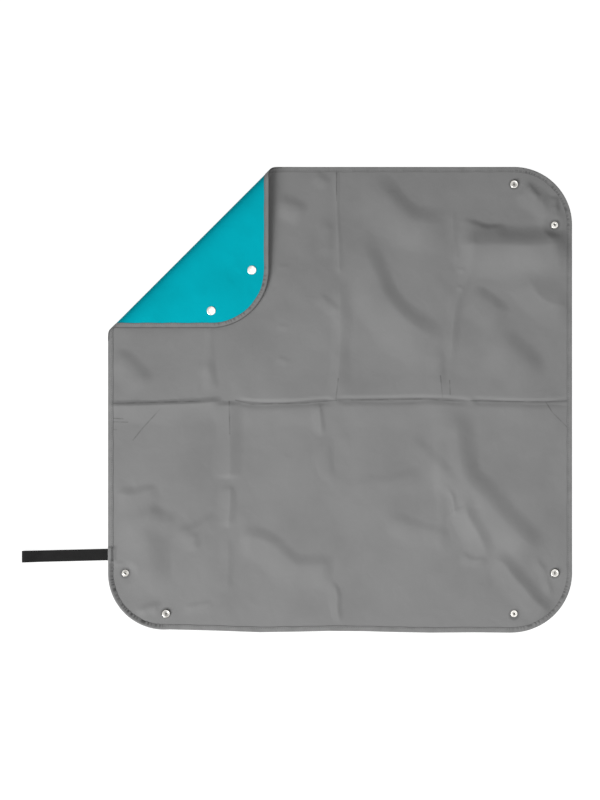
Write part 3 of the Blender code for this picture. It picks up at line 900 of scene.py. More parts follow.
@dataclass(frozen=True)
class RibbedTape(Finish):
    """Woven polyester or polypropylene tape: ribs across its length, matt, with a tight edge.

    Attributes:
        low: Colour between the ribs.
        high: Colour of their crowns.
        shade: Painted shade: colour for the puckers' troughs, the selvedges and the other shaded stretches.
        rib_mm: Spacing of the ribs. Real ribs are about 0.7 mm apart; they are drawn as coarse as they show.
        depth_mm: Depth between two ribs.
        roughness: Roughness of the yarn.
    """

    low: str
    high: str
    shade: str
    rib_mm: float
    depth_mm: float
    roughness: float

    def inputs(self, nodes: Nodes) -> dict[str, Socket | float]:
        """Gives ribs that wave as twill does. The UV map runs along the tape in metres, and across it.

        Args:
            nodes: The material's nodes.

        Returns:
            What the shader takes, by the name of its input.
        """
        uv = nodes.pattern()
        x, y = nodes.parts(uv)
        along = nodes.math("MULTIPLY", x, 2000 * math.pi / self.rib_mm)
        twill = nodes.math("SINE", nodes.math("MULTIPLY", y, 1400 * math.pi / self.rib_mm))
        ribs = nodes.math("SINE", nodes.math("MULTIPLY_ADD", twill, 1.1, along))
        level = nodes.span(ribs, 0.0, 1.0, -1.0)
        blend = nodes.math("MULTIPLY_ADD", level, 0.5, nodes.noise(uv, 60.0, 3.0))
        yarn = nodes.ramp(blend, (0.35, self.low), (1.05, self.high))
        # Painted shade, from the mesh's crease value below 0.
        tape_shade = nodes.math("MULTIPLY", nodes.attribute("crease"), -1.0, clamp=True)
        return {
            "Base Color": nodes.mix(tape_shade, yarn, self.shade),
            "Roughness": self.roughness,
            "Specular IOR Level": 0.15,
            "Sheen Weight": 0.15,
            "Normal": nodes.bump(level, 0.8, self.depth_mm * MM),
        }


@dataclass(frozen=True)
class StampedMetal(Finish):
    """Sheet metal that was stamped, turned and plated: bright, with faint rings left by the tool.

    Attributes:
        low: Colour of handled and shaded patches.
        high: Colour of the clean plating.
        tarnish_shade_colour: Tarnish with painted shade in the hollows, and painted shade on the rims and
            dishes.
        roughness: Roughness of the plating.
        ring_mm: Spacing of the tool rings. Real ones are finer; they are drawn as coarse as they show.
    """

    low: str
    high: str
    tarnish_shade_colour: str
    roughness: float
    ring_mm: float

    def inputs(self, nodes: Nodes) -> dict[str, Socket | float]:
        """Gives smudged plating. The UV map runs round the piece, and along its profile in metres.

        Args:
            nodes: The material's nodes.

        Returns:
            What the shader takes, by the name of its input.
        """
        smudge = nodes.noise(nodes.add("TexCoord").outputs["Object"], 240.0, 3.0)
        clean = nodes.ramp(smudge, (0.30, self.low), (0.62, self.high))
        _, profile = nodes.parts(nodes.pattern())
        return {
            # Tarnish with painted shade in the hollows, and painted shade on rims, dishes and necks, by the
            # mesh's value.
            "Base Color": nodes.mix(nodes.attribute("tarnish_and_shade"), clean, self.tarnish_shade_colour),
            "Metallic": 1.0,
            "Roughness": nodes.span(smudge, self.roughness + 0.1, self.roughness - 0.06),
            "Normal": nodes.bump(nodes.waves(profile, self.ring_mm), 0.3, 0.00002),
        }


@dataclass(frozen=True)
class SewingThread(Finish):
    """Three-ply polyester thread: a soft sheen, with the twist of its plies across it.

    Attributes:
        low: Colour between the plies.
        high: Colour of their crowns.
    """

    low: str
    high: str

    def inputs(self, nodes: Nodes) -> dict[str, Socket | float]:
        """Gives slanting plies. The UV map runs along the stitch and round it.

        Args:
            nodes: The material's nodes.

        Returns:
            What the shader takes, by the name of its input.
        """
        x, y = nodes.parts(nodes.pattern())
        turn = nodes.math("MULTIPLY", nodes.math("MULTIPLY_ADD", x, 4.0, y), 2 * math.pi)
        level = nodes.span(nodes.math("SINE", turn), 0.0, 1.0, -1.0)
        colour = nodes.ramp(level, (0.0, self.low), (1.0, self.high))
        return {"Base Color": colour, "Roughness": 0.6, "Sheen Weight": 0.2}


class Finishes:
    """Every finish of the mat, made once."""

    def __init__(self) -> None:
        """Builds the materials. On the flat cloth the turned corner's fittings mirror the rear right's."""
        corners, kinds = ("rear_right", "front_right", "front_left"), ("socket", "stud")
        nodes = [f"{corner}_{kind}" for corner in corners for kind in kinds]
        middles = [np.mean(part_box(node), axis=0)[:2].tolist() for node in nodes]
        # Each cloth's colours are low, base, high, worn and the painted shade.
        grey = ("#858585", "#8A8A8A", "#8E8E8E", "#989898", "#4C4C4C")
        teal = ("#00B2C2", "#00B9CA", "#00BDCF", "#10C0D0", "#006374")
        # The last colour of the plating and of the wire is tarnish with painted shade.
        plating, wire = ("#C6C3BD", "#EDEBE6", "#403E3A"), ("#5C5C5E", "#868688", "#3C3C3E")
        # The last colour of the tape and of the webbing is their painted shade.
        tape, webbing = ("#808080", "#929292", "#3C3C3C"), ("#101010", "#1E1E1E", "#060606")
        self.face = CoatedCloth(
            "polyurethane coated polyester grey",
            *grey,
            roughness=0.62,
            specular=0.18,
            lines=CREASE_SHADE_LINES,
            # Painted shade goes round these places.
            fittings=tuple((x, y) for x, y in middles + [(-x, y) for x, y in middles[:2]]),
        ).build()
        self.base = CoatedCloth(
            "polyurethane coated polyester teal", *teal, roughness=0.50, specular=0.03, bared="#6E6E6E"
        ).build()
        self.tape = RibbedTape("woven polyester tape grey", *tape, 1.4, 0.06, 0.8).build()
        self.thread = SewingThread("spun polyester thread grey", "#474747", "#6C6C6C").build()
        self.webbing = RibbedTape("woven polypropylene webbing black", *webbing, 1.7, 0.22, 0.75).build()
        self.nickel = StampedMetal("stamped brass nickel plated", *plating, 0.20, 0.35).build()
        self.steel = StampedMetal("drawn spring steel wire", *wire, 0.30, 0.30).build()


# Pieces


@dataclass
class Sheet:
    """One ply over one part of the mat, as a thin closed skin.

    Attributes:
        cloth: The sheet's shape.
        cell: Spacing of its grid.
        fine: Spacing of the added lines beside a straight crease.
        thickness: Thickness of a ply.
        inset: How far the binding covers its edge.
        seam_y: Where the front part meets the rear one.
        face_top: Height of the face's upper side.
        creases: Where sharp creases lie from left to right.
        crossing: Where they lie from front to rear.
        bend_shade_reach: Distance from the turned fold's outermost line over which the base gets painted
            shade.
    """

    cloth: Cloth
    cell: float = 0.0030
    fine: float = 0.0011
    thickness: float = 0.0004
    inset: float = 0.0009
    seam_y: float = 0.0025
    face_top: float = 0.0011
    creases: tuple[float, ...] = (-0.190, -0.036, -0.004, 0.193)
    crossing: tuple[float, ...] = (-0.010, -0.003, 0.006, 0.013)
    bend_shade_reach: float = 0.020

    def lines(self, low: float, high: float, creases: tuple[float, ...], cell: float) -> Array:
        """Spaces grid lines evenly, with three more on each side of every crease.

        Args:
            low: First line.
            high: Last line.
            creases: Where sharp creases lie.
            cell: The even spacing.

        Returns:
            The lines in rising order, none nearer than half of the fine spacing.
        """
        even = np.linspace(low, high, max(2, round((high - low) / cell) + 1))
        steps = np.arange(-3, 4) * self.fine
        extra = (np.array(creases)[:, None] + steps).ravel() if creases else np.empty(0)
        extra = extra[(extra > low + self.fine) & (extra < high - self.fine)]
        every = np.sort(np.concatenate([even, extra]))
        keep = np.concatenate([[True], np.diff(every) > self.fine / 2])
        kept = every[keep]
        kept[-1] = high
        return kept

    def flat_grid(self, side: Side) -> Array:
        """Lays a grid over the rounded square and draws its corner squares in to the arcs.

        In a corner square with a and b from 0 to 1, the point goes to (a sqrt(1 - b^2 / 2),
        b sqrt(1 - a^2 / 2)), which takes the square to a quarter disc.

        Args:
            side: The part of the mat.

        Returns:
            Points of the flat sheet, of shape (rows, columns, 2).
        """
        end = self.cloth.half - self.inset
        if side is Side.FRONT:
            box = (-end, end, -end, self.seam_y)
        elif side is Side.REAR:
            box = (-end, end, self.seam_y, end)
        else:
            box = (-end, -self.cloth.cut(), self.cloth.cut(), end)
        whole = side is not Side.CORNER
        cell = self.cell if whole else self.cell / 2
        x = self.lines(box[0], box[1], self.creases if whole else (), cell)
        y = self.lines(box[2], box[3], self.crossing if whole else (), cell)
        grid = np.stack(np.meshgrid(x, y), axis=-1)
        inner, radius = self.cloth.half - self.cloth.corner, self.cloth.corner - self.inset
        share = np.clip((np.abs(grid) - inner) / radius, 0.0, 1.0)
        a, b = share[..., 0], share[..., 1]
        pulled = np.stack([a * np.sqrt(1 - b**2 / 2), b * np.sqrt(1 - a**2 / 2)], axis=-1)
        corner = ((a > 0) & (b > 0))[..., None]
        return np.where(corner, np.sign(grid) * (inner + radius * pulled), grid)

    def build(self, side: Side, ply: Ply, material: Material) -> None:
        """Args:
            side: The part of the mat.
            ply: The ply.
            material: Its finish.
        """
        grid = self.flat_grid(side)
        name = f"{side.value}_{ply.value}_sheet"
        obj = surface(name, np.concatenate([grid, np.zeros((*grid.shape[:2], 1))], axis=-1))
        if side is not Side.FRONT:
            self.cut(obj, side)
        mesh = obj.data
        flat = vertex_points(mesh)[:, :2]
        level = self.face_top - self.thickness if ply is Ply.FACE else 0.0
        relief, wear_and_shade = self.cloth.relief_wear_and_shade(flat)
        placed = self.cloth.place(flat, np.full(len(flat), level))
        mesh.vertices.foreach_set("co", placed.astype(np.float32).ravel())
        if ply is Ply.BASE:
            # The base takes the face's crease value turned over, and painted shade in a band along the turned
            # bend.
            past = (self.cloth.across(flat) - FOLD_CREST) / self.bend_shade_reach
            wear_and_shade = -wear_and_shade - 0.66 * np.exp(-(past**2)) * (past > -1.2)
        self.mark(mesh, flat)
        hold(obj, "crease", wear_and_shade)
        mesh.update()
        mesh.shade_smooth()
        self.thicken(obj)
        obj.data.materials.append(material)
        replaced = [f"{side.value}_{ply.value}_cloth"]
        if side is Side.CORNER:
            replaced = [f"bend_{ply.value}_cloth", f"flap_{ply.value}_cloth"]
        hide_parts(*replaced)
        self.cloth.bend_towards(obj, side)

    def cut(self, obj: Piece, side: Side) -> None:
        """Cuts the flat grid along the seam under the bend, and keeps the part that the piece is.

        Args:
            obj: The piece, whose mesh is changed.
            side: REAR or CORNER.
        """
        bm = bmesh.new()
        bm.from_mesh(obj.data)
        towards = Vector((-1, 1, 0)).normalized()
        bmesh.ops.bisect_plane(
            bm,
            geom=bm.verts[:] + bm.edges[:] + bm.faces[:],
            dist=1e-7,
            plane_co=towards * self.cloth.seam,
            plane_no=towards,
            clear_outer=side is Side.REAR,
            clear_inner=side is Side.CORNER,
        )
        bm.to_mesh(obj.data)
        bm.free()

    def thicken(self, obj: Piece) -> None:
        """Gives the skin its thickness and bakes it, with the cut edges sharp so that seams don't show.

        Args:
            obj: The piece, whose mesh is replaced.
        """
        wall = obj.modifiers.new("Ply", "SOLIDIFY")
        wall.thickness = self.thickness
        wall.offset = 1.0
        graph = bpy.context.evaluated_depsgraph_get()
        shown = obj.evaluated_get(graph)
        solid = bpy.data.meshes.new_from_object(shown, preserve_all_data_layers=True, depsgraph=graph)
        obj.modifiers.clear()
        obj.data = solid
        solid.set_sharp_from_angle(angle=math.radians(55))

    def mark(self, mesh: bpy.types.Mesh, flat: Array) -> None:
        """Stores the flat places as a UV map, one unit a metre, with the middle of the sheet at 0.5.

        Args:
            mesh: The skin's mesh.
            flat: Flat places of its points, of shape (count, 2), in metres.
        """
        loops = np.empty(len(mesh.loops), np.int32)
        mesh.loops.foreach_get("vertex_index", loops)
        layer = mesh.uv_layers.new(name="pattern")
        layer.data.foreach_set("uv", (flat[loops] + 0.5).astype(np.float32).ravel())


@dataclass
class Binding:
    """Tape folded round the edge, with its two rows of stitches.

    Attributes:
        cloth: The sheet's shape.
        width: How far the tape reaches in from the edge.
        tape: Thickness of the tape.
        top: Height of its upper face.
        bottom: Height of its lower face.
        step: Spacing of its rings along the edge.
        stitch_inset: Distance of the stitches from the edge.
        pitch: Distance from one stitch to the next.
        stitch: Length of a stitch.
        thread: Radius of the thread.
        sunk: How far the lower stitches are pressed into the tape.
        nose: Depth of the tape's fold round the edge.
        puckers: Height of the puckers on the straight sides, and how much higher they are on the arcs.
        shaded_stretch: Where along the edge the stretch of painted shade starts and ends.
        root: Where along the edge the strap's root lies.
    """

    cloth: Cloth
    width: float = 0.009
    tape: float = 0.00045
    top: float = 0.00165
    bottom: float = -0.00045
    step: float = 0.0013
    stitch_inset: float = 0.0066
    pitch: float = 0.0040
    stitch: float = 0.0031
    thread: float = 0.00026
    sunk: float = 0.00020
    nose: float = 0.0012
    puckers: tuple[float, float] = (0.00005, 0.00040)
    shaded_stretch: tuple[float, float] = (0.572, 0.790)
    root: float = 0.5681

    def section(self) -> Array:
        """Returns the tape's closed section as (inset, height) points, round the fold and back inside.

        The fold's two sides are half ellipses, (nose (1 + cos(a)), middle + half the height times sin(a)).
        """
        bend = np.linspace(0.5, 1.5, 7) * math.pi
        middle, outer = (self.top + self.bottom) / 2, (self.top - self.bottom) / 2
        inner, fold = outer - self.tape, self.nose
        outside = np.stack([fold + fold * np.cos(bend), middle + outer * np.sin(bend)], axis=1)
        inside = np.stack([fold + (fold - self.tape) * np.cos(bend), middle + inner * np.sin(bend)], axis=1)
        flat = np.linspace(self.width, fold, 6)[:-1]
        rows = [
            np.stack([flat, np.full(5, self.top)], axis=1),
            outside,
            np.stack([flat[::-1], np.full(5, self.bottom)], axis=1),
            [(self.width + 0.0001, self.bottom + self.tape / 2)],
            np.stack([flat, np.full(5, self.bottom + self.tape)], axis=1),
            inside[::-1],
            np.stack([flat[::-1], np.full(5, self.top - self.tape)], axis=1),
            [(self.width + 0.0001, self.top - self.tape / 2)],
        ]
        return np.concatenate(rows)

    def pucker(self, run: Array, inset: Array) -> Array:
        """Returns the height that the stitches draw the tape up by, which grows from its edge inwards."""
        rise = self.puckers[0] + self.puckers[1] * self.gather(run)
        return rise * self.ruffle(run) * np.clip(inset / self.width, 0.0, 1.0)

    def ruffle(self, run: Array) -> Array:
        """Returns an uneven wave from -1 to 1: a sine whose pace and size are changed by two slower ones."""
        pace = run / 0.00125 + 2.8 * np.sin(run / 0.0108) + 1.7 * np.sin(run / 0.0043 + 1.0)
        return np.sin(pace) * (0.60 + 0.40 * np.sin(run / 0.0071 + 0.8 + 1.5 * np.sin(run / 0.019)))

    def gather(self, run: Array) -> Array:
        """Returns 1 on the arcs, where the tape is gathered, and 0 on the straight sides."""
        side, quarter = self.cloth.quarter()
        local = np.mod(run, quarter)
        return smoothstep((local - side + 0.02) / 0.03) * smoothstep((quarter + 0.005 - local) / 0.02)

    def shade(self, side: Side, run: Array, inset: Array) -> Array:
        """Works out how dark the tape is, by smoothstep between the bounds of each shaded length or strip.

        Painted shade: pucker troughs, a stretch past the strap, its root, the corner's outer fold, the
        selvedges.

        Args:
            side: EDGE or CORNER.
            run: Distance along the edge.
            inset: Distance in from the edge.

        Returns:
            A value from 0 to -1 a point, for the tape's finish.
        """
        # Painted shade, term by term: a stretch past the strap, the tape by its root, pucker troughs, the
        # corner's outer fold.
        start, end = self.shaded_stretch
        shaded_stretch = smoothstep((run - start) / 0.012) * smoothstep((end - run) / 0.080) * (side is Side.EDGE)
        root = smoothstep((0.0125 - np.abs(run - self.root)) / 0.001) * (side is Side.EDGE)
        shade = -self.gather(run) * np.clip(0.10 - 0.75 * self.ruffle(run), 0.0, 0.5)
        shade *= smoothstep(inset / self.width * 1.6 - 0.3)
        shade -= 0.45 * shaded_stretch * smoothstep((inset - 0.0012) / 0.0030)
        shade -= 0.55 * root * smoothstep((inset - 0.0045) / 0.001)
        shade -= 0.70 * smoothstep((0.0020 - inset) / 0.0010) * (side is Side.CORNER)
        return np.where(inset > self.width - 0.0002, np.minimum(shade, -0.45), shade)

    def build(self, side: Side, tape: Material, thread: Material) -> None:
        """Makes the tape and both rows of stitches of one part.

        Args:
            side: EDGE for the flat sheet or CORNER for the turned one.
            tape: Finish of the tape.
            thread: Finish of the thread.
        """
        first, last = self.cloth.runs(side)
        section = self.section()
        rings = round((last - first) / self.step) + 1
        run = np.repeat(np.linspace(first, last, rings), len(section))
        inset, height = np.tile(section, (rings, 1)).T
        lift = self.pucker(run, inset) * (height > 0.0006)
        wander = 0.00022 * np.sin(run / 0.0083 + np.sin(run / 0.031)) * (inset > self.width * 0.7)
        placed = self.cloth.place(self.cloth.outline(run, inset + wander), height + lift)
        uv = tube_uv(np.linspace(first, last, rings), section)
        obj = surface(f"{side.value}_binding", placed.reshape(rings, len(section), 3), uv, wrap_columns=True)
        hold(obj, "crease", self.shade(side, run, inset))
        mend(obj, close_ends=True, sharp_deg=50)
        obj.data.materials.append(tape)
        nodes = ["front_binding", "rear_binding", "rear_left_binding"]
        if side is Side.CORNER:
            nodes = ["bend_left_binding", "bend_top_binding", "flap_binding"]
        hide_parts(*nodes)
        self.cloth.bend_towards(obj, side)
        LOG.info("%s: %d rings", obj.name, rings)
        for above in (True, False):
            self.stitches(side, above, thread)

    def stitches(self, side: Side, above: bool, thread: Material) -> None:
        """Makes one row of stitches: each is a thread that dips into the tape at both of its ends.

        Its line is a half ellipse over the tape, height = sin(pi t) times its rise, and a ring of the
        thread's radius runs along it and closes at the ends.

        Args:
            side: EDGE or CORNER.
            above: Whether it is the upper row.
            thread: Its finish.
        """
        first, last = self.cloth.runs(side)
        count = int((last - first) / self.pitch)
        centre = first + (np.arange(count) + 0.5) * self.pitch
        t = np.linspace(0.0, 1.0, 6)
        turn = np.arange(5) * 2.0 * math.pi / 5
        slim = np.sqrt(np.clip(np.sin(math.pi * t), 0.0, 1.0)) * 0.85 + 0.15
        run = centre[:, None, None] + ((t - 0.5) * self.stitch)[None, :, None] + np.zeros((1, 1, 5))
        ring = self.thread * slim[:, None] * np.ones(5)[None, :]
        inset = self.stitch_inset + ring * np.cos(turn) + np.zeros_like(run)
        rise = (np.sin(math.pi * t) * 0.00016 - 0.00008)[:, None] + ring * np.sin(turn)
        height = self.top + rise if above else self.bottom + self.sunk - rise
        height = height + np.zeros_like(run)
        pucker = self.pucker(run, inset) * above
        flat = self.cloth.outline(run.ravel(), inset.ravel())
        placed = self.cloth.place(flat, (height + pucker).ravel()).reshape(count, 6, 5, 3)
        obj = self.repeated(f"{side.value}_stitches_{'upper' if above else 'lower'}", placed)
        obj.data.materials.append(thread)
        self.cloth.bend_towards(obj, side)
        LOG.info("%s: %d stitches", obj.name, count)

    def repeated(self, name: str, points: Array) -> Piece:
        """Makes one mesh of many small tubes with closed ends.

        Args:
            name: Name of the piece.
            points: Array of shape (count, rings, sides, 3).

        Returns:
            The new object.
        """
        count, rings, sides = points.shape[:3]
        pairs = grid_faces(rings, sides, wrap_columns=True)
        quads = pairs[..., 0] * sides + pairs[..., 1] % sides
        first = (np.arange(count) * rings * sides)[:, None]
        every = (quads.ravel()[None, :] + first).ravel()
        lids = np.array([np.arange(sides), np.arange(rings * sides - 1, (rings - 1) * sides - 1, -1)])
        ends = (lids.ravel()[None, :] + first).ravel()
        starts = np.concatenate([np.arange(0, len(every), 4), len(every) + np.arange(0, len(ends), sides)])
        along = np.stack([pairs[..., 0] / (rings - 1), pairs[..., 1] / sides], axis=-1)
        uv = np.concatenate([np.tile(along.reshape(-1, 2), (count, 1)), np.zeros((len(ends), 2))])
        return mend(new_piece(name, points, np.concatenate([every, ends]), starts, uv))


@dataclass
class PressStuds:
    """The sockets, studs, caps and springs of the four corners.

    Attributes:
        steps: Sides of every turned piece.
        bottom: Height at which the fittings sit on the face.
        cap_top: Height of the caps' flat side, under the base.
        wire_mm: Radius of the spring's wire.
        wire_line_mm: Radius of its line in the groove.
        wire_mouth_mm: How far the line is drawn in at both mouths.
        wire_height_mm: Its height over the socket's foot.
    """

    steps: int = 72
    bottom: float = 0.0014
    cap_top: float = -0.0003
    wire_mm: float = 0.30
    wire_line_mm: float = 3.62
    wire_mouth_mm: float = 0.75
    wire_height_mm: float = 1.30

    def socket(self) -> Array:
        """Returns the socket's closed profile as (radius, height, darkening) points in millimetres."""
        profile = np.array(
            [
                (3.40, 2.35), (3.43, 2.50), (3.58, 2.60), (4.10, 2.62), (4.70, 2.64), (4.95, 2.72),
                (5.15, 2.88), (5.45, 2.98), (5.80, 3.00), (6.20, 2.90), (6.55, 2.60), (6.85, 2.10),
                (7.10, 1.50), (7.26, 0.90), (7.30, 0.45), (7.20, 0.15), (7.00, 0.02), (6.50, 0.00),
                (4.00, 0.00), (1.90, 0.00), (1.90, 0.60), (2.60, 0.60), (4.10, 0.62), (4.28, 0.85),
                (4.30, 1.30), (4.22, 1.80), (3.90, 2.00), (3.60, 2.02), (3.45, 2.12),
            ]
        )
        # Tarnish with painted shade in the bore; painted shade in the dish and on the outer rim; the rest a
        # little darker all over.
        inside = (profile[:, 0] < 4.35) & (profile[:, 1] < 2.40)
        dish = (profile[:, 0] < 4.96) & (profile[:, 1] >= 2.40)
        rim = profile[:, 0] > 7.00
        tarnish_and_shade = np.select([inside, dish, rim], [0.42, 0.38, 0.8], 0.16)
        return np.column_stack([profile, tarnish_and_shade])

    def stud(self) -> Array:
        """Returns the stud's closed profile as (radius, height, darkening) points in millimetres."""
        profile = np.array(
            [
                (1.90, 3.25), (2.05, 3.38), (2.40, 3.40), (2.78, 3.30), (3.02, 3.00), (3.10, 2.65),
                (3.08, 2.25), (2.90, 1.90), (2.72, 1.60), (2.70, 1.30), (2.82, 1.05), (3.10, 0.88),
                (3.60, 0.82), (4.60, 0.80), (5.30, 0.76), (5.68, 0.66), (5.86, 0.48), (5.90, 0.28),
                (5.80, 0.08), (5.55, 0.00), (4.00, 0.00), (1.90, 0.00), (1.90, 0.60), (1.90, 1.90),
                (1.90, 2.60), (1.90, 3.00),
            ]
        )
        # Tarnish with painted shade in the hollow; painted shade on the rim's foot and under the head.
        inside = (profile[:, 0] < 2.00) & (profile[:, 1] < 3.10)
        rim = (profile[:, 0] > 5.50) & (profile[:, 1] < 0.30)
        neck = (profile[:, 0] < 3.20) & (profile[:, 1] < 1.95)
        return np.column_stack([profile, np.select([inside, rim | neck], [1.0, 0.8], 0.20)])

    def cap(self, rivet_top: float) -> Array:
        """Works out the cap's open profile, whose crown is a quarter of an ellipse.

        Args:
            rivet_top: Height of its rivet's top over its flat side.

        Returns:
            (radius, height, darkening) points in millimetres, from the rivet's top to the crown.
        """
        crown = np.linspace(0.0, 0.5, 9) * math.pi
        dome = np.stack([2.7 + 4.9 * np.cos(crown), -0.32 - 1.0 * np.sin(crown)], axis=1)
        rivet = [(0.0, rivet_top), (1.2, rivet_top), (1.5, rivet_top - 0.1), (1.6, rivet_top - 0.4)]
        inner = [*rivet, (1.6, 0.0)]
        brim = [(6.6, 0.0), (7.2, 0.0), (7.5, -0.08), (7.6, -0.2)]
        profile = np.concatenate([inner, brim, dome, [(1.3, -1.32), (0.0, -1.33)]])
        # Painted shade on the brim; the rivet's top, down in the bore, dark with tarnish and painted shade.
        return np.column_stack([profile, np.where(profile[:, 1] > -0.34, 0.9, 0.0)])

    def turned(self, name: str, profile: Array, foot: Array, basis: Array, closed: bool) -> Piece:
        """Turns a profile about its axis: x = r cos(a), y = r sin(a), z = height.

        Args:
            name: Name of the piece.
            profile: (radius, height, darkening) points in millimetres: tarnish and painted shade in hollows,
                painted shade on rims.
            foot: Where the axis starts, in the row frame.
            basis: 3 by 3 array whose columns are the fitting's own axes.
            closed: Whether the profile's last point joins its first.

        Returns:
            The new object.
        """
        angle = np.arange(self.steps) * 2.0 * math.pi / self.steps
        radius, height = profile[:, :2].T * MM
        x, y = np.cos(angle)[:, None] * radius, np.sin(angle)[:, None] * radius
        local = np.stack([x, y, height + np.zeros((self.steps, 1))], axis=-1)
        uv = tube_uv(np.arange(self.steps + 1) / self.steps, profile[:, :2] * MM)[:, : len(profile) + closed]
        obj = surface(name, local @ basis.T + foot, uv, wrap_rows=True, wrap_columns=closed)
        hold(obj, "tarnish_and_shade", np.tile(profile[:, 2], self.steps))
        return mend(obj, sharp_deg=50)

    def spring(self, name: str, foot: Array, basis: Array) -> Piece:
        """Makes the socket's wire: an S of two arcs that cross the bore and lie in its groove.

        The line's radius is drawn in towards the bore at both mouths by |sin(a)|^6, with a the angle.

        Args:
            name: Name of the piece.
            foot: Where the socket's axis starts.
            basis: Its own axes as columns.

        Returns:
            The new object.
        """
        count, sides = 90, 10
        share = np.linspace(0.0, 1.0, count)
        angle = math.radians(15) + share * math.radians(330)
        reach = (self.wire_line_mm - self.wire_mouth_mm * np.abs(np.sin(angle)) ** 6) * MM
        height = np.full(count, self.wire_height_mm * MM)
        line = np.stack([reach * np.cos(angle), reach * np.sin(angle), height], axis=1)
        tangent = np.gradient(line, axis=0)
        tangent /= np.linalg.norm(tangent, axis=1)[:, None]
        up = np.array([0.0, 0.0, 1.0])
        out = np.cross(tangent, up)
        turn = np.arange(sides) * 2.0 * math.pi / sides
        slim = np.sqrt(np.clip(1.0 - np.clip(np.abs(share - 0.5) * 2 * 45 - 44, 0, 1) ** 2, 0.04, 1.0))
        ring = (self.wire_mm * MM * slim)[:, None, None]
        aside, above = np.cos(turn)[None, :, None], np.sin(turn)[None, :, None]
        local = line[:, None] + ring * aside * out[:, None] + ring * above * up
        u = np.linspace(0.0, 0.022, count)
        v = np.arange(sides + 1) / sides * 0.0019
        uv = np.stack(np.meshgrid(u, v, indexing="ij"), axis=-1)
        obj = surface(name, local @ basis.T + foot, uv, wrap_columns=True)
        return mend(obj, close_ends=True)

    def build(self, cloth: Cloth, nickel: Material, steel: Material) -> None:
        """Makes every fitting in its place.

        Args:
            cloth: The sheet's shape, which carries the turned corner's fittings round the bend.
            nickel: Finish of the sockets, studs and caps.
            steel: Finish of the springs.
        """
        bodies = {
            "flap": "corner_flap",
            "rear_right": "rear_half",
            "front_right": "front_half",
            "front_left": "front_half",
        }
        for corner, body in bodies.items():
            for kind, rivet in (("socket", 0.9), ("stud", 1.7)):
                name = f"{corner}_{kind}"
                foot, basis = self.turned_foot(cloth, kind) if corner == "flap" else self.fit(name)
                on_face, on_base = foot + basis[:, 2] * self.bottom, foot + basis[:, 2] * self.cap_top
                profile = self.socket() if kind == "socket" else self.stud()
                fitting = self.turned(f"{name}_body", profile, on_face, basis, True)
                cap = self.turned(f"{name}_dome", self.cap(rivet + 1.7), on_base, basis, False)
                pieces = [(fitting, name, nickel), (cap, f"{name}_cap", nickel)]
                if kind == "socket":
                    wire = self.spring(f"{corner}_socket_wire", on_face, basis)
                    pieces.append((wire, f"{corner}_socket_spring", steel))
                for obj, node, material in pieces:
                    obj.data.materials.append(material)
                    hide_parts(node)
                    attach(obj, body)
            LOG.info("%s: socket, stud, two caps and spring", corner)

    def fit(self, node: str) -> tuple[Array, Array]:
        """Finds where a fitting stands from its CAD node: its axis goes through the middle of its box.

        Args:
            node: The CAD node.

        Returns:
            The point at height 0 on that axis, and the fitting's own axes as columns.
        """
        low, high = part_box(node)
        middle = (np.array(low) + np.array(high)) / 2
        return np.array([middle[0], middle[1], 0.0]), np.eye(3)

    def turned_foot(self, cloth: Cloth, kind: str) -> tuple[Array, Array]:
        """Finds where a fitting on the turned corner stands: three flat points under it go round the bend.

        Args:
            cloth: The sheet's shape.
            kind: "socket" or "stud".

        Returns:
            The point under its axis, and the fitting's own axes as columns.
        """
        edge, side = cloth.half - cloth.snap_inset, cloth.half - cloth.snap_reach
        flat = np.array([(-edge, side) if kind == "socket" else (-side, edge)])
        around = np.concatenate([flat, flat + [(MM, 0.0)], flat + [(0.0, MM)]])
        plane = RigidCloth().place(around, np.zeros(3))
        first, second = ((end - plane[0]) / np.linalg.norm(end - plane[0]) for end in plane[1:])
        return plane[0], np.stack([first, second, np.cross(first, second)], axis=1)


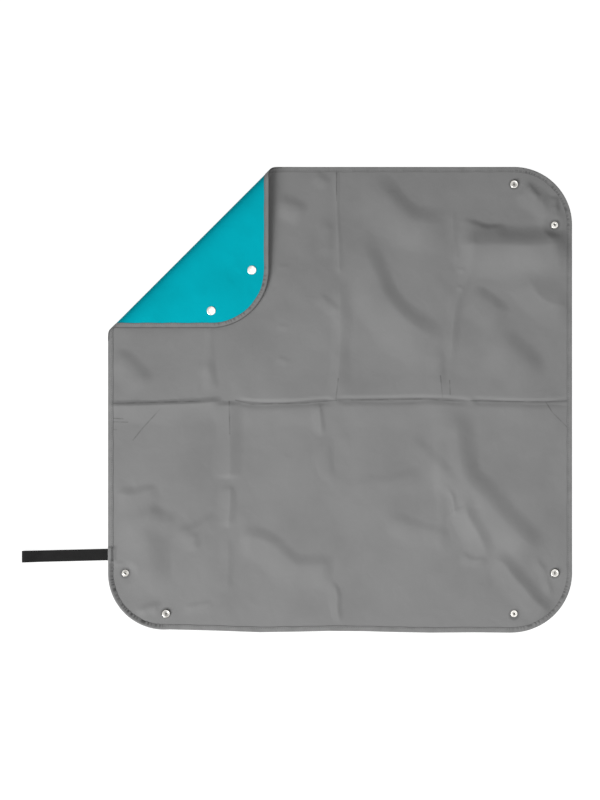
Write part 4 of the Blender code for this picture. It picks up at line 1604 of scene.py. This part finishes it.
@dataclass
class HangingLoop:
    """Webbing folded back on itself, with a small open eye at the fold, sewn in under the left edge.

    Attributes:
        length: From the mat's edge to the tip.
        root: How far it reaches in under the edge.
        width: Width of the webbing.
        thickness: Its thickness.
        layer_gap: Gap between the two layers.
        eye_height: Height of the eye, outside.
        eye_run: Length over which the upper layer rises to the eye.
        hinge_x: Where the loop leaves the mat.
        centre_y: Middle of the webbing there.
        floor: Height of its underside.
        lean_deg: Angle by which it drifts forward.
        selvedge: Width of its rounded edges.
    """

    length: float = 0.148
    root: float = 0.0095
    width: float = 0.020
    thickness: float = 0.0012
    layer_gap: float = 0.0005
    eye_height: float = 0.0082
    eye_run: float = 0.034
    hinge_x: float = -0.4003
    centre_y: float = -0.2681
    floor: float = -0.0016
    lean_deg: float = 1.4
    selvedge: float = 0.0009

    def line(self) -> Array:
        """Returns the middle of the webbing as (reach, height), from under the mat round the eye and back.

        The lower layer lies flat, the eye is a half circle, and the upper layer comes down from it by
        (1 + cos(pi t)) / 2.
        """
        half = self.thickness / 2
        radius = (self.eye_height - self.thickness) / 2
        centre = self.length - half - radius
        upper = half + self.thickness + self.layer_gap
        run = np.linspace(-self.root, centre - 0.001, 60)
        lower = np.stack([run, np.full(60, half)], axis=1)
        angle = (np.linspace(0.0, 1.0, 21) - 0.5) * math.pi
        eye = np.stack([centre + radius * np.cos(angle), half + radius * (1 + np.sin(angle))], axis=1)
        t = np.linspace(0.0, 1.0, 70)[1:]
        reach = centre - (centre + self.root) * t
        fall = np.clip((centre - reach) / self.eye_run, 0.0, 1.0)
        press = smoothstep((0.004 - reach) / 0.012) * (self.layer_gap - 0.0001)
        top = upper + (half + 2 * radius - upper) * (1 + np.cos(math.pi * fall)) / 2 - press
        return np.concatenate([lower, eye, np.stack([reach, top], axis=1)])

    def build(self, material: Material) -> None:
        """Sweeps the webbing's section along its line.

        The section is a flat bar whose ends are half ellipses, so that the selvedges are round.

        Args:
            material: Its finish.
        """
        line = self.line()
        tangent = np.gradient(line, axis=0)
        tangent /= np.linalg.norm(tangent, axis=1)[:, None]
        normal = np.stack([-tangent[:, 1], tangent[:, 0]], axis=1)
        half, edge = self.thickness / 2, self.selvedge
        turn = np.linspace(-0.5, 0.5, 7) * math.pi
        flat = np.linspace(-1.0, 1.0, 13)[1:-1] * (self.width / 2 - edge)
        right = np.stack([self.width / 2 - edge + edge * np.cos(turn), half * np.sin(turn)], axis=1)
        left = -right
        upper = np.stack([flat[::-1], np.full(len(flat), half)], axis=1)
        lower = np.stack([flat, np.full(len(flat), -half)], axis=1)
        section = np.concatenate([lower, right, upper, left])
        drift = math.tan(math.radians(self.lean_deg))
        reach = line[:, :1] + normal[:, :1] * section[:, 1]
        height = line[:, 1:] + normal[:, 1:] * section[:, 1]
        aside = self.centre_y + section[:, 0] - drift * np.clip(line[:, :1], 0.0, None)
        placed = np.stack([self.hinge_x - reach, aside, self.floor + height], axis=-1)
        steps = np.concatenate([[0.0], np.cumsum(np.linalg.norm(np.diff(line, axis=0), axis=1))])
        swept = surface("loop_webbing", placed, tube_uv(steps, section), wrap_columns=True)
        obj = mend(swept, close_ends=True, sharp_deg=60)
        obj.data.materials.append(material)
        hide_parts("hanging_loop")
        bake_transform(obj)
        LOG.info("%s: %.0f mm of webbing", obj.name, steps[-1] / MM)


# Studio


@dataclass
class Studio:
    """Floor, lights, background and camera.

    Attributes:
        floor_z: Height of the floor.
        floor_reach: How far it goes each way.
        view_px: Pixels of the photograph's frame, across and down.
        pixel: Size of a pixel on the mat.
        mat_px: Pixel at which the mat's middle shows.
        lens_mm: Focal length, long enough to keep the mat square.
        sensor_mm: Width of the sensor.
        lamps: Name, place, size and watts of each lamp.
    """

    floor_z: float = -0.00165
    floor_reach: float = 6.0
    view_px: tuple[int, int] = (600, 800)
    pixel: float = 0.001724
    mat_px: tuple[float, float] = (340.0, 399.0)
    lens_mm: float = 120.0
    sensor_mm: float = 36.0
    lamps: tuple[tuple[str, Point, float, float], ...] = (
        ("key softbox", (-2.23, -2.23, 2.13), 2.3, 143.0),
        ("fill softbox", (0.30, -0.10, 0.80), 1.0, 2.2),
    )

    def direct(self, nodes: Nodes) -> Socket:
        """Tells direct rays from the rest.

        Args:
            nodes: Nodes of the floor's material or of the world.

        Returns:
            1 for rays from the camera and for those that gloss or glass passes on, and 0 for the rest.
        """
        path = nodes.add("LightPath").outputs
        seen = nodes.math("MAXIMUM", path["Is Camera Ray"], path["Is Glossy Ray"])
        return nodes.math("MAXIMUM", seen, path["Is Transmission Ray"])

    def floor(self) -> None:
        """Makes a white floor that keeps the mat's shadow, and shows white to the camera and to metal."""
        ends = (-self.floor_reach, self.floor_reach)
        obj = surface("studio_floor", np.array([[(x, y, self.floor_z) for x in ends] for y in ends]))
        material = bpy.data.materials.new("painted studio floor white")
        nodes = Nodes(material)
        share = nodes.math("MULTIPLY", self.direct(nodes), 0.72)
        paint = nodes.add("BsdfDiffuse", {"Color": linear("#F4F4F4")}).outputs[0]
        glow = nodes.add("Emission", {"Color": (1, 1, 1, 1), "Strength": 1.28}).outputs[0]
        mixed = nodes.add("MixShader", {0: share, 1: paint, 2: glow}).outputs[0]
        nodes.add("OutputMaterial", {"Surface": mixed})
        obj.data.materials.append(material)

    def world(self) -> None:
        """Makes an even pale surround that camera and metal see as white."""
        world = bpy.data.worlds.new("studio surround")
        bpy.context.scene.world = world
        nodes = Nodes(world)
        strength = nodes.span(self.direct(nodes), 0.18, 1.0)
        glow = nodes.add("Background", {"Color": (1, 1, 1, 1), "Strength": strength}).outputs[0]
        nodes.add("OutputWorld", {"Surface": glow})

    def lamp(self, name: str, place: Point, size: float, watts: float) -> None:
        """Hangs one soft square lamp that faces the mat's middle.

        Args:
            name: Name of the lamp.
            place: Where it hangs.
            size: Length of its side.
            watts: Its power.
        """
        data = bpy.data.lights.new(name, "AREA")
        data.shape = "SQUARE"
        data.size = size
        data.energy = watts
        obj = bpy.data.objects.new(name, data)
        obj.location = place
        obj.rotation_euler = (-Vector(place)).to_track_quat("-Z", "Y").to_euler()
        bpy.context.scene.collection.objects.link(obj)

    def camera(self) -> None:
        """Looks straight down from where the mat's pixels fall as in the photograph."""
        x = (self.view_px[0] / 2 - self.mat_px[0]) * self.pixel
        y = (self.mat_px[1] - self.view_px[1] / 2) * self.pixel
        data = bpy.data.cameras.new("camera")
        data.lens = self.lens_mm
        data.sensor_width = self.sensor_mm
        data.clip_end = 50.0
        distance = self.view_px[1] * self.pixel * self.lens_mm / data.sensor_width
        obj = bpy.data.objects.new("camera", data)
        obj.location = (x, y, distance)
        bpy.context.scene.collection.objects.link(obj)
        bpy.context.scene.camera = obj

    def build(self) -> None:
        """Sets up the studio."""
        self.camera()
        self.floor()
        self.world()
        for lamp in self.lamps:
            self.lamp(*lamp)
        bpy.context.scene.view_settings.view_transform = "Standard"


def main() -> None:
    """Builds the mat and the studio."""
    logging.basicConfig(level=logging.INFO, format="%(name)s %(message)s")
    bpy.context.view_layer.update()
    Studio().build()
    finishes = Finishes()
    cloth = Cloth()
    sheet = Sheet(cloth)
    for side in (Side.FRONT, Side.REAR, Side.CORNER):
        sheet.build(side, Ply.FACE, finishes.face)
        sheet.build(side, Ply.BASE, finishes.base)
    binding = Binding(cloth)
    for side in (Side.EDGE, Side.CORNER):
        binding.build(side, finishes.tape, finishes.thread)
    PressStuds().build(cloth, finishes.nickel, finishes.steel)
    HangingLoop().build(finishes.webbing)


if __name__ == "__main__":
    main()
